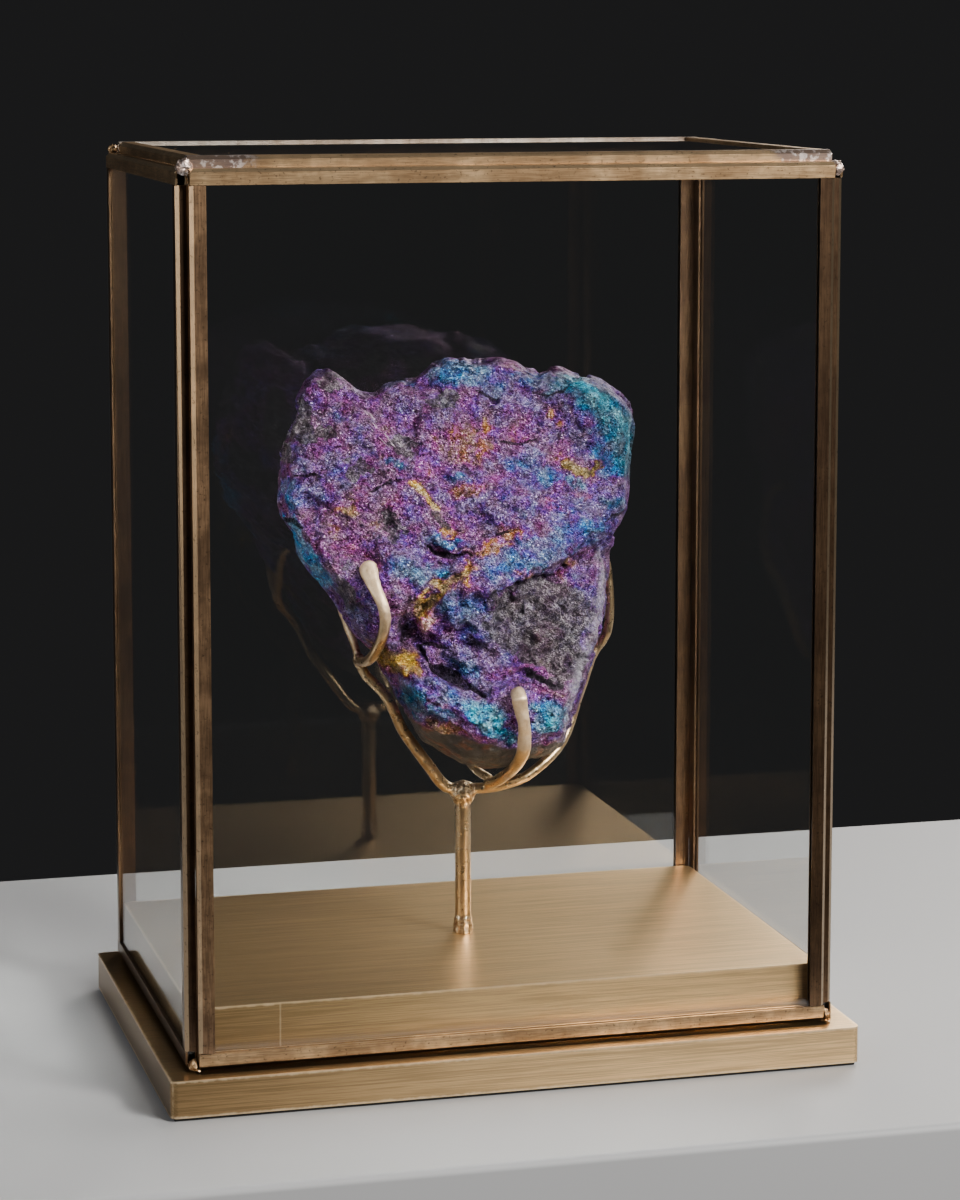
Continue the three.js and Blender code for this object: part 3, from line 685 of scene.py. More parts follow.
def brushed_group():
    """Fine parallel scratches: the vector is first stretched along the brushing."""
    made, tree, given, out = new_group("brushed", {"Vector": None, "Stretch": None}, ("Height", "Tone"))
    drawn = tree.vector("MULTIPLY", given["Vector"], given["Stretch"])
    fine = tree.cloud(drawn, 5200.0, 2.0, 0.7)
    wide = tree.cloud(drawn, 1300.0, 3.0, 0.6)
    tree.link(tree.add(tree.multiply(fine, 0.7), tree.multiply(wide, 0.5)), out["Height"])
    both = tree.add(tree.multiply(fine, 0.6), tree.multiply(wide, 0.4))
    tree.link(tree.spread(both, 0.38, 0.62), out["Tone"])
    return made


def distance_group():
    """How far a place is from a box's nearest edge, from its nearest corner and inside its outline."""
    made, tree, given, out = new_group(
        "box_distance", {"Vector": None, "Centre": None, "Half": None}, ("Edge", "Corner", "Plan")
    )
    middle = tree.vector("SUBTRACT", given["Vector"], given["Centre"])
    inset = tree.vector("SUBTRACT", given["Half"], tree.vector("ABSOLUTE", middle))
    across, deep, high = tree.node("ShaderNodeSeparateXYZ", Vector=inset).outputs
    total = tree.add(tree.add(across, deep), high)
    most = tree.reckon("MAXIMUM", tree.reckon("MAXIMUM", across, deep), high)
    least = tree.reckon("MINIMUM", tree.reckon("MINIMUM", across, deep), high)
    tree.link(tree.subtract(tree.subtract(total, most), least), out["Edge"])
    tree.link(tree.reckon("MINIMUM", across, deep), out["Plan"])
    tree.link(tree.vector("LENGTH", inset).node.outputs["Value"], out["Corner"])
    return made


def hammered_group():
    """Shallow hammer dimples with a grainy skin."""
    made, tree, given, out = new_group(
        "hammered", {"Vector": None, "Dimple Size": 0.002}, ("Height", "Grain")
    )
    scale = tree.reckon("DIVIDE", 1.0, given["Dimple Size"])
    dimple = tree.node("ShaderNodeTexVoronoi", Vector=given["Vector"], Scale=scale)
    dimple.feature = "SMOOTH_F1"
    grain = tree.cloud(given["Vector"], tree.multiply(scale, 4.0), 3.0, 0.6)
    bowl = tree.multiply(dimple.outputs["Distance"], dimple.outputs["Distance"])
    tree.link(tree.add(bowl, tree.multiply(grain, 0.5)), out["Height"])
    tree.link(grain, out["Grain"])
    return made


def grain_group():
    """Crystal grains: each has its own tone, hue, tilt, and a spark value that picks the few grains given a
    painted glint.
    """
    made, tree, given, out = new_group(
        "crystal_grains", {"Vector": None, "Grain Size": 1.0}, ("Tone", "Hue", "Spark", "Tilt")
    )
    scale = tree.reckon("DIVIDE", 1.0, given["Grain Size"])
    grain = tree.node("ShaderNodeTexVoronoi", Vector=given["Vector"], Scale=scale)
    tone, hue, spark = tree.node("ShaderNodeSeparateColor", Color=grain.outputs["Color"]).outputs
    tree.link(tone, out["Tone"])
    tree.link(hue, out["Hue"])
    tree.link(tree.spread(spark, 0.86, 0.98), out["Spark"])
    tree.link(tree.vector("SUBTRACT", grain.outputs["Color"], (0.5, 0.5, 0.5)), out["Tilt"])
    return made


GROUP_MAKERS = {
    "patina": patina_group,
    "brushed": brushed_group,
    "box_distance": distance_group,
    "hammered": hammered_group,
    "crystal_grains": grain_group,
}


def new_material(name):
    """A material with only a Principled shader, its tree and its object coordinates."""
    material = bpy.data.materials.new(name)
    material.use_nodes = True
    tree = Tree(material.node_tree)
    return material, tree, tree.node("ShaderNodeTexCoord").outputs["Object"]


# ---------------------------------------------------------------- materials

def film_colour(tree, look, film):
    """Colour of a tarnish film by its thickness."""
    ramp = tree.node("ShaderNodeValToRGB", Fac=film)
    elements = ramp.color_ramp.elements
    while len(elements) < len(FILM_COLOURS):
        elements.new(0.5)
    for element, (name, position) in zip(elements, FILM_COLOURS.items()):
        element.position = position
        element.color = colour(getattr(look, name))
    return ramp.outputs[0]


def ore_material(look):
    """Tarnish film of changing colour on metallic grains, with bare granular rock between."""
    material, tree, where = new_material("ore_tarnish")
    place = tree.placed(where, Location=ORE_CENTRE, Rotation=ORE_ROTATION, Scale=(MM, MM, MM))
    fabric = tree.placed(place, Rotation=(0, -GRAIN_TURN, 0), Scale=(FACET_STRETCH, 1, 1))
    grains, crumbs, facets = (
        tree.group("crystal_grains", Vector=fabric, Grain_Size=size) for size in (0.35, 0.9, 3.0)
    )
    wide = tree.cloud(place, 0.11, 4.0, 0.6, 0.4)
    middling = tree.cloud(place, 0.42, 4.0, 0.65, 0.5)
    fine = tree.cloud(place, 1.3, 3.0, 0.7)

    film = tree.attribute("film")
    for source, share in ((wide, 0.55), (middling, 0.55), (facets["Hue"], 0.09)):
        film = tree.multiply_add(tree.subtract(source, 0.5), share, film)
    greyed = tree.spread(tree.cloud(place, 0.14, 3.0, 0.6, 0.6), 0.38, 0.62, 1.08, 0.68)
    muted = tree.node("ShaderNodeHueSaturation", Color=film_colour(tree, look, film), Saturation=greyed)

    # Grains lighten and darken the film by equal steps for the eye, and a few get a painted glint in their
    # colour.
    level = tree.multiply(grains["Tone"], 0.65)
    level = tree.multiply_add(crumbs["Tone"], 0.15, level)
    level = tree.multiply_add(fine, 0.2, level)
    step = tree.spread(level, 0.16, 0.84, -look.contrast, 0.5 * look.contrast)
    painted_glints = tree.multiply(grains["Spark"], tree.spread(fine, 0.40, 0.62, 0.2, 1.3))
    step = tree.multiply_add(painted_glints, look.sparkle, step)
    even = tree.node("ShaderNodeGamma", Color=muted.outputs[0], Gamma=0.4).outputs[0]
    stepped = tree.vector("MAXIMUM", tree.vector("ADD", even, step), (0.0, 0.0, 0.0))
    body = tree.node("ShaderNodeGamma", Color=stepped, Gamma=2.5).outputs[0]
    clump = tree.spread(middling, 0.38, 0.62, 0.48, 0.96)
    # Stops of brightness for the tarnish, with painted shade on faces that look up and on faces that look
    # to the right.
    lighter = tree.multiply(clump, tree.reckon("POWER", 2.0, tree.attribute("lift")))
    pale = tree.blend(1.0, body, lighter, "MULTIPLY")

    fibre = tree.multiply(tree.cloud(place, 0.9, 3.0, 0.7, 2.2), 0.7)
    flecks = tree.spread(tree.add(fibre, tree.multiply(grains["Tone"], 0.3)), 0.46, 0.62)
    rock = tree.blend(flecks, look.rock_dark, look.rock_pale)
    lumps = tree.spread(tree.cloud(place, 0.22, 4.0, 0.6, 0.3), 0.4, 0.6, 0.15, 1.15)
    rock = tree.blend(1.0, rock, lumps, "MULTIPLY")
    rock = tree.blend(0.12, rock, pale)
    uneven = tree.multiply(tree.subtract(middling, 0.5), 1.6)
    bare = tree.spread(tree.add(tree.attribute("bare"), uneven), 0.35, 0.65)
    skin = tree.blend(bare, pale, rock)

    rusty = tree.blend(tree.spread(wide, 0.52, 0.68), look.ground, look.rust)
    earth = tree.blend(1.0, rusty, tree.spread(fine, 0.3, 0.7, 0.6, 1.4), "MULTIPLY")
    ground = tree.attribute("ground")
    skin = tree.blend(ground, skin, earth)
    # Pale edges: partly wear and partly a painted highlight.
    worn = tree.multiply(tree.attribute("worn"), tree.spread(fine, 0.36, 0.6, 0.25, 1.0))
    skin = tree.blend(worn, skin, look.worn)
    drawn = tree.placed(place, Rotation=(0, NEEDLE_TURN, 0), Scale=(16, 2, 0.8))
    thread = tree.spread(tree.cloud(drawn, 1.0, 1.0, 0.5), 0.60, 0.68)
    needles = tree.multiply(thread, tree.attribute("needles"), clamp=True)
    skin = tree.blend(tree.multiply(needles, 0.8), skin, look.needle)
    # Painted shade darkens cracks, clefts and pits.
    split = tree.spread(tree.attribute("crack"), 0.0, 0.5, 1.0, 0.0)
    hollow = tree.add(tree.attribute("hollow"), split, clamp=True)
    skin = tree.blend(tree.multiply(hollow, 0.9), skin, look.painted_shade)

    tilt = tree.scale(grains["Tilt"], 0.9)
    tilt = tree.vector("ADD", tilt, tree.scale(crumbs["Tilt"], 0.8))
    tilt = tree.vector("ADD", tilt, tree.scale(facets["Tilt"], 0.7))
    tilt = tree.scale(tilt, tree.spread(ground, 0.0, 1.0, 1.0, 0.15))
    normal = tree.node("ShaderNodeNewGeometry").outputs["Normal"]
    facing = tree.vector("NORMALIZE", tree.vector("ADD", normal, tilt))
    height = tree.add(tree.multiply(middling, 1.2), fine)
    dull = tree.reckon("MAXIMUM", bare, tree.reckon("MAXIMUM", ground, worn))
    tree.shade(
        Base_Color=skin,
        Metallic=tree.spread(dull, 0.0, 1.0, 0.75, 0.15),
        Roughness=tree.add(tree.spread(fine, 0.35, 0.65, 0.26, 0.42), tree.multiply(dull, 0.25)),
        Specular_IOR_Level=0.4,
        Specular_Tint=(0.6, 0.55, 0.6),
        Normal=tree.bump(height, 0.95 * MM, 1.0, Normal=facing),
    )
    return material


def box_distance(tree, where, low, high):
    """Distances of a place from the edges, corners and outline of a box."""
    return tree.group("box_distance", Vector=where, Centre=(low + high) / 2, Half=(high - low) / 2)


def case_distance(tree, where):
    return box_distance(tree, where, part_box("came_front_left")[0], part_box("came_back_left")[1])


def base_material(look, node):
    """Antique brass plate brushed along its length, with painted shade that darkens it to the left and, on
    the slab, along the foot of the case, and bright edges that are partly wear and partly a painted
    highlight.
    """
    material, tree, where = new_material("brushed_" + node)
    low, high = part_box(node)
    brushed = tree.group("brushed", Vector=where, Stretch=(0.006, 0.55, 0.55))
    along, deep, height = tree.node("ShaderNodeSeparateXYZ", Vector=where).outputs
    # Painted shade darkens the brass towards the left end.
    body = tree.blend(tree.spread(along, -0.15, 0.06, 0.85, 0.0), look.base, look.base_painted_shade)
    body = tree.blend(1.0, body, tree.spread(brushed["Tone"], 0.0, 1.0, 0.78, 1.15), "MULTIPLY")
    nicks = tree.cloud(where, 260.0, 3.0, 0.6)
    # Bright edges of the base: partly wear from handling and partly a painted highlight.
    rubbed = tree.multiply_add(nicks, -1.6 * MM, box_distance(tree, where, low, high)["Edge"])
    body = tree.blend(tree.spread(rubbed, -0.6 * MM, 0.4 * MM, 0.8, 0.0), body, look.base_rub_and_highlight)
    if node == "base_slab":
        # Painted shade darkens the slab's top under the case and in a band about a millimetre wide round
        # its foot.
        shade_under_case = tree.spread(case_distance(tree, where)["Plan"], -1.8 * MM, -0.6 * MM, 0.0, 0.9)
        shade_under_case = tree.multiply(shade_under_case, tree.spread(height, high[2] - 1.2 * MM, high[2] - 0.4 * MM))
        body = tree.blend(shade_under_case, body, look.grime_and_shade)
    else:
        scratch = tree.reckon("ABSOLUTE", tree.subtract(along, PLINTH_SCRATCH))
        scratch = tree.reckon("MAXIMUM", scratch, tree.subtract(deep, low[1] + 0.5 * MM))
        scratch = tree.multiply_add(nicks, 0.8 * MM, scratch)
        body = tree.blend(tree.spread(scratch, 0.4 * MM, 1.0 * MM, 0.4, 0.0), body, look.base_rub_and_highlight)
    tree.shade(Base_Color=body, Metallic=0.9, Roughness=0.28, Normal=tree.bump(brushed["Height"], 0.1 * MM))
    return material


def strip_material(look, name, tone, shade, along, rough, stained=False):
    """Drawn brass strip with brown patina; a stained one is burnt and tinned near the case's corners."""
    material, tree, where = new_material(name)
    patina = tree.group("patina", Vector=where, Blotch_Size=0.026)
    stretch = [0.02 if axis == along else 0.5 for axis in range(3)]
    brushed = tree.group("brushed", Vector=where, Stretch=stretch)
    body = tree.blend(tree.multiply(patina["Blotch"], 0.6), tone, shade)
    body = tree.blend(tree.multiply(patina["Mottle"], 0.35), body, shade)
    body = tree.blend(1.0, body, tree.spread(brushed["Tone"], 0.0, 1.0, 0.75, 1.15), "MULTIPLY")
    # Bright long edges of the strips: partly wear and partly a painted highlight of the rounded edges.
    body = tree.blend(tree.multiply(tree.attribute("rubbed"), 0.3), body, look.base_rub_and_highlight)
    body = tree.blend(tree.multiply(patina["Pits"], 0.6), body, look.grime_and_shade)
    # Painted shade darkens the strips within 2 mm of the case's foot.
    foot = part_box("came_front_bottom")[0][2]
    height = tree.node("ShaderNodeSeparateXYZ", Vector=where).outputs["Z"]
    body = tree.blend(tree.spread(height, foot + 0.8 * MM, foot + 2 * MM, 0.9, 0.0), body, look.grime_and_shade)
    if stained:
        corner = case_distance(tree, where)["Corner"]
        reach = tree.multiply_add(tree.cloud(where, 70.0, 4.0, 0.6), -50 * MM, corner)
        burnt = tree.spread(reach, -4 * MM, 4 * MM, 0.75, 0.0)
        body = tree.blend(burnt, body, look.burnt)
        tinned = tree.multiply(burnt, tree.spread(tree.cloud(where, 380.0, 3.0, 0.6), 0.52, 0.64))
        body = tree.blend(tinned, body, look.solder)
    normal = tree.bump(brushed["Height"], 0.02 * MM, 0.7)
    tree.shade(Base_Color=body, Metallic=0.9, Roughness=rough, Normal=normal)
    return material


def stand_material(look):
    """Drawn brass rod, pale hammered ends and silvery braze, told apart by attributes."""
    material, tree, where = new_material("stand_brass")
    patina = tree.group("patina", Vector=where, Blotch_Size=0.011)
    hammered = tree.group("hammered", Vector=where, Dimple_Size=0.0022)
    pale = tree.attribute("pale")
    rod = tree.blend(tree.multiply(patina["Blotch"], 0.45), look.rod, look.rod_shade)
    rod = tree.blend(tree.multiply(patina["Mottle"], 0.25), rod, look.rod_shade)
    cream = tree.blend(tree.spread(hammered["Grain"], 0.42, 0.58, 0.0, 0.55), look.pale, look.rod)
    cream = tree.blend(tree.multiply(patina["Mottle"], 0.3), cream, look.rod_shade)
    silver = tree.blend(patina["Mottle"], look.braze, look.braze_shade)
    ragged = tree.multiply(tree.subtract(patina["Mottle"], 0.5), 0.7)
    brazed = tree.spread(tree.add(tree.attribute("braze"), ragged), 0.3, 0.75)
    height = tree.multiply(hammered["Height"], tree.add(tree.multiply(pale, 0.9), 0.06))
    tree.shade(
        Base_Color=tree.blend(brazed, tree.blend(pale, rod, cream), silver),
        Metallic=tree.spread(pale, 0.0, 1.0, 1.0, 0.85),
        Roughness=tree.add(tree.multiply(pale, 0.2), tree.multiply_add(patina["Mottle"], 0.04, 0.27)),
        Normal=tree.bump(height, 0.22 * MM, 0.8),
    )
    return material


def solder_material(look, name, tone, shade):
    """Lumpy solder with stains."""
    material, tree, where = new_material(name)
    patina = tree.group("patina", Vector=where, Blotch_Size=0.006)
    hammered = tree.group("hammered", Vector=where, Dimple_Size=0.0016)
    body = tree.blend(patina["Blotch"], tone, shade)
    tree.shade(
        Base_Color=tree.blend(tree.multiply(patina["Pits"], 0.5), body, look.came_shade),
        Metallic=1.0,
        Roughness=tree.spread(patina["Mottle"], 0.0, 1.0, 0.34, 0.5),
        Normal=tree.bump(hammered["Height"], 0.25 * MM, 0.8),
    )
    return material


def glass_material(look):
    """Clear glass that lets the lamps through to what it shuts in."""
    material, tree, _ = new_material("clear_glass")
    tree.shade(Base_Color=look.tint, Roughness=0.0, IOR=look.index, Transmission_Weight=1.0)
    nodes = material.node_tree.nodes
    lamps = tree.node("ShaderNodeLightPath").outputs["Is Shadow Ray"]
    clear = tree.node("ShaderNodeBsdfTransparent", Color=look.tint).outputs[0]
    mixed = tree.node("ShaderNodeMixShader")
    tree.fill(mixed.inputs, (lamps, nodes["Principled BSDF"].outputs[0], clear))
    tree.set(nodes["Material Output"].inputs, Surface=mixed.outputs[0])
    return material


def felt_material():
    """Dark pressed felt."""
    material, tree, where = new_material("base_felt")
    fibre = tree.cloud(where, 1400.0, 4.0, 0.7, 1.0)
    body = tree.blend(fibre, (0.012, 0.012, 0.013), (0.055, 0.052, 0.05))
    tree.shade(Base_Color=body, Roughness=0.95, Normal=tree.bump(fibre, 0.4 * MM, 0.8))
    return material


def board_material():
    """Raw board inside the brass cladding."""
    material, tree, where = new_material("raw_board")
    brushed = tree.group("brushed", Vector=where, Stretch=(0.03, 0.4, 0.4))
    body = tree.blend(brushed["Tone"], (0.36, 0.22, 0.11), (0.52, 0.35, 0.19))
    tree.shade(Base_Color=body, Roughness=0.7, Normal=tree.bump(brushed["Height"], 0.1 * MM, 0.5))
    return material


def floor_material(look):
    """A plain pale table top."""
    material, tree, where = new_material("pale_floor")
    body = tree.blend(tree.cloud(where, 3.0), look.floor, [part * 0.94 for part in look.floor])
    tree.shade(Base_Color=body, Roughness=0.6)
    return material


# ---------------------------------------------------------------- settings

def colour_setting(name, description, default):
    return FloatVectorProperty(
        name=name, description=description, default=default, size=3, min=0, max=1, subtype="COLOR"
    )


def length_setting(name, description, default):
    return FloatProperty(name=name, description=description, default=default, min=0, unit="LENGTH")


def share_setting(name, description, default, most):
    return FloatProperty(name=name, description=description, default=default, min=0, max=most)


def power_setting(name, description, default):
    return FloatProperty(name=name, description=description, default=default, min=0, unit="POWER")


class StoneLook(bpy.types.PropertyGroup):
    """Sizes and tarnish colours of the stone."""
    grid: length_setting("Grid", "Side of the stone's faces", 1.0 * MM)
    relief: share_setting("Relief", "How far the broken plates tilt", 1.0, 2)
    contrast: share_setting("Contrast", "How far grains differ in tone", 0.22, 0.5)
    # Strength of the painted glint on the brightest grains.
    sparkle: share_setting("Sparkle", "How bright the brightest grains are", 0.4, 0.5)
    gold: colour_setting("Gold", "Freshly broken metal", (0.62, 0.42, 0.09))
    copper: colour_setting("Copper", "Thinnest film", (0.44, 0.20, 0.07))
    rose: colour_setting("Rose", "Thin film", (0.34, 0.135, 0.12))
    magenta: colour_setting("Magenta", "Film between rose and mauve", (0.33, 0.08, 0.29))
    mauve: colour_setting("Mauve", "Film between magenta and violet", (0.24, 0.078, 0.27))
    violet: colour_setting("Violet", "Middle film", (0.185, 0.078, 0.39))
    indigo: colour_setting("Indigo", "Film between violet and blue", (0.11, 0.115, 0.38))
    blue: colour_setting("Blue", "Thick film", (0.06, 0.17, 0.42))
    teal: colour_setting("Teal", "Thicker film", (0.03, 0.24, 0.48))
    turquoise: colour_setting("Turquoise", "Thickest film", (0.07, 0.46, 0.64))
    rock_dark: colour_setting("Dark rock", "Bare rock between grains", (0.022, 0.018, 0.020))
    rock_pale: colour_setting("Pale rock", "Bare rock grains", (0.17, 0.163, 0.168))
    ground: colour_setting("Ground", "Smooth rock under the ore", (0.056, 0.055, 0.056))
    rust: colour_setting("Rust", "Stains of the smooth rock", (0.13, 0.055, 0.035))
    # Pale edge colour: partly wear and partly a painted highlight.
    worn: colour_setting("Worn edge", "Rubbed edges of the stone", (0.20, 0.19, 0.225))
    needle: colour_setting("Needle", "Fine white needles", (0.75, 0.66, 0.74))
    # Colour of the painted shade in clefts, cracks and pits.
    painted_shade: colour_setting("Soot", "Depth of clefts and pits", (0.012, 0.008, 0.014))


class BrassLook(bpy.types.PropertyGroup):
    """Colours of the brass and solder."""
    base: colour_setting("Base", "Brushed base", (0.70, 0.475, 0.24))
    # Colour of the painted shade towards the left of the base.
    base_painted_shade: colour_setting("Base shade", "Deeper patina at the left of the base", (0.19, 0.118, 0.05))
    # Colour of the base's bright edges, partly wear and partly a painted highlight; also of the plinth's
    # scratch and the strips' bright edges.
    base_rub_and_highlight: colour_setting("Base edge", "Rubbed edges of the base", (0.86, 0.66, 0.42))
    came: colour_setting("Strips", "Soldered strips", (0.60, 0.41, 0.23))
    came_shade: colour_setting("Strip shade", "Brown patina of the strips", (0.25, 0.145, 0.07))
    # Painted shade: the darker strips and their patina are a shaded copy of the strip brass; the front
    # upright is a copy between the lit and the shaded tone.
    shaded_came: colour_setting("Dark strips", "Strips of the back and the lower sides", (0.19, 0.115, 0.065))
    shaded_came_shade: colour_setting("Dark strip shade", "Their brown patina", (0.085, 0.05, 0.032))
    upright: colour_setting("Front upright", "Left upright strip of the front pane", (0.46, 0.285, 0.16))
    tinned: colour_setting("Tinned strip", "Grey strip at the top of the back", (0.52, 0.47, 0.42))
    burnt: colour_setting("Burnt strip", "Heat stain beside the solder", (0.20, 0.15, 0.15))
    # Dirt in the strips' pits, and the colour of the painted shade along the foot of the case.
    grime_and_shade: colour_setting("Grime", "Dirt along the joint and in pits", (0.03, 0.021, 0.015))
    rod: colour_setting("Rod", "Wire stand", (0.66, 0.48, 0.28))
    rod_shade: colour_setting("Rod shade", "Brown patina of the stand", (0.36, 0.24, 0.13))
    pale: colour_setting("Pale ends", "Hammered ends of the claws", (0.58, 0.44, 0.31))
    braze: colour_setting("Braze", "Silvery braze of the stand", (0.80, 0.65, 0.46))
    braze_shade: colour_setting("Braze shade", "Burnt braze", (0.30, 0.18, 0.09))
    solder: colour_setting("Solder", "Corner beads", (0.86, 0.77, 0.74))
    solder_shade: colour_setting("Solder shade", "Stained beads", (0.62, 0.44, 0.36))
    base_round: length_setting("Base rounding", "Radius of the base's edges", 0.9 * MM)
    corner_round: length_setting("Right corners", "Radius of the base's right corners", 5 * MM)
    strip_round: length_setting("Strip rounding", "Radius of the strips' long edges", 1.2 * MM)


class GlassLook(bpy.types.PropertyGroup):
    """Glass of the panes."""
    index: FloatProperty(name="Index", description="Refractive index", default=1.5, min=1, max=2)
    tint: colour_setting("Tint", "Colour of light that passes", (0.975, 0.985, 0.98))


class StudioLook(bpy.types.PropertyGroup):
    """Floor and lamps."""
    floor: colour_setting("Floor", "Table top", (0.35, 0.36, 0.38))
    air: colour_setting("Air", "Light from all round", (0.0138, 0.0138, 0.0142))
    key: power_setting("Key", "Lamp at the front right", 44)
    sheen: power_setting("Sheen", "Wide lamp above and behind", 26)
    front: power_setting("Front", "Small lamp at the front", 24)
    edge: power_setting("Edge", "Narrow lamp at the left that draws the uprights' edges", 1.3)
    fill: power_setting("Fill", "Wide lamp at the left", 6)


LOOKS = {
    "ore_case_stone": StoneLook,
    "ore_case_brass": BrassLook,
    "ore_case_glass": GlassLook,
    "ore_case_studio": StudioLook,
}


# ---------------------------------------------------------------- operators

class ORECASE_OT_stand(bpy.types.Operator):
    """Welds the rods, claws and braze lumps into one hammered wire stand"""
    bl_idname = "ore_case.stand"
    bl_label = "Build the Wire Stand"

    def execute(self, context):
        nodes = RODS + BRAZES
        parts = [merged_copy(node, "stand_" + node) for node in nodes]
        for part in parts:
            apply_modifier(part, "DISPLACE", strength=STAND_WELD, mid_level=0)
        select_only(*parts)
        bpy.ops.object.join()
        stand = context.view_layer.objects.active
        stand.name = "wire_stand"
        stand.data.name = "wire_stand"
        remeshed(stand, STAND_GRID)
        apply_modifier(stand, "DISPLACE", strength=-STAND_WELD, mid_level=0)
        apply_modifier(stand, "SMOOTH", factor=0.5, iterations=STAND_RELAX)

        places, normals = vertex_arrays(stand)
        trees = [tree_of(node) for node in nodes]
        braze = np.zeros(len(places))
        pale = np.zeros(len(places))
        rise = np.full(len(places), STAND_SWELL)
        for k, place in enumerate(places):
            point = Vector(place)
            gaps = [tree.find_nearest(point)[3] / MM for tree in trees]
            node = nodes[int(np.argmin(gaps))]
            braze[k] = 1 - smooth(min(gaps[len(RODS):]), 0.3, 2.2)
            if node in PALE_FROM:
                pale[k] = smooth(place[2] / MM, *PALE_FROM[node])
            if node in CLAW_ENDS:
                places[k] = hammered_end(place, *CLAW_ENDS[node])
            spot_on = point / MM
            rise[k] += pale[k] * 0.6 * plate_rise(spot_on, 2.6, 0.12, 0.6)
            rise[k] += braze[k] * 0.35 * noise.fractal(spot_on / 1.6, 1.0, 2.0, 3)
            rise[k] += 0.06 * noise.noise(spot_on / 3.0)
        move_vertices(stand, places + normals * rise[:, None] * MM)
        keep_values(stand, "pale", pale)
        keep_values(stand, "braze", braze)
        select_only(stand)
        bpy.ops.object.shade_smooth()
        install(stand, stand_material(context.scene.ore_case_brass), "rod_brass", *nodes)
        return {"FINISHED"}


def broken_rock(u, v, w):
    """At a place of the stone: raggedness, film, rise of large and small plates, bareness of the back."""
    cosine, sine = math.cos(GRAIN_TURN), math.sin(GRAIN_TURN)
    drawn = Vector(((u * cosine + w * sine) / GRAIN_STRETCH, v, w * cosine - u * sine))
    rises = [plate_rise(drawn, *plate) for plate in PLATES]
    place = Vector((u, v, w))
    ragged = noise.fractal(place / 6.0, 0.7, 2.2, 4)
    film = 0.43 + 0.16 * noise.noise(place / 26.0) + 0.14 * noise.noise(place / 9.0)
    small = rises[2] + 0.2 * noise.noise(drawn / 1.8)
    return ragged, film, rises[0] + rises[1], small, noise.noise(place / 16.0)


def stand_gaps(context, places):
    """Distance of each place from the wire stand, in millimetres, where the stand is near."""
    stand = bpy.data.objects["wire_stand"]
    tree = BVHTree.FromObject(stand, context.evaluated_depsgraph_get())
    gaps = np.full(len(places), FAR)
    for k, place in enumerate(places):
        hit = tree.find_nearest(Vector(place), ORE_CLEAR * 2 * MM)
        if hit[0] is not None:
            gaps[k] = hit[3] / MM
    return gaps


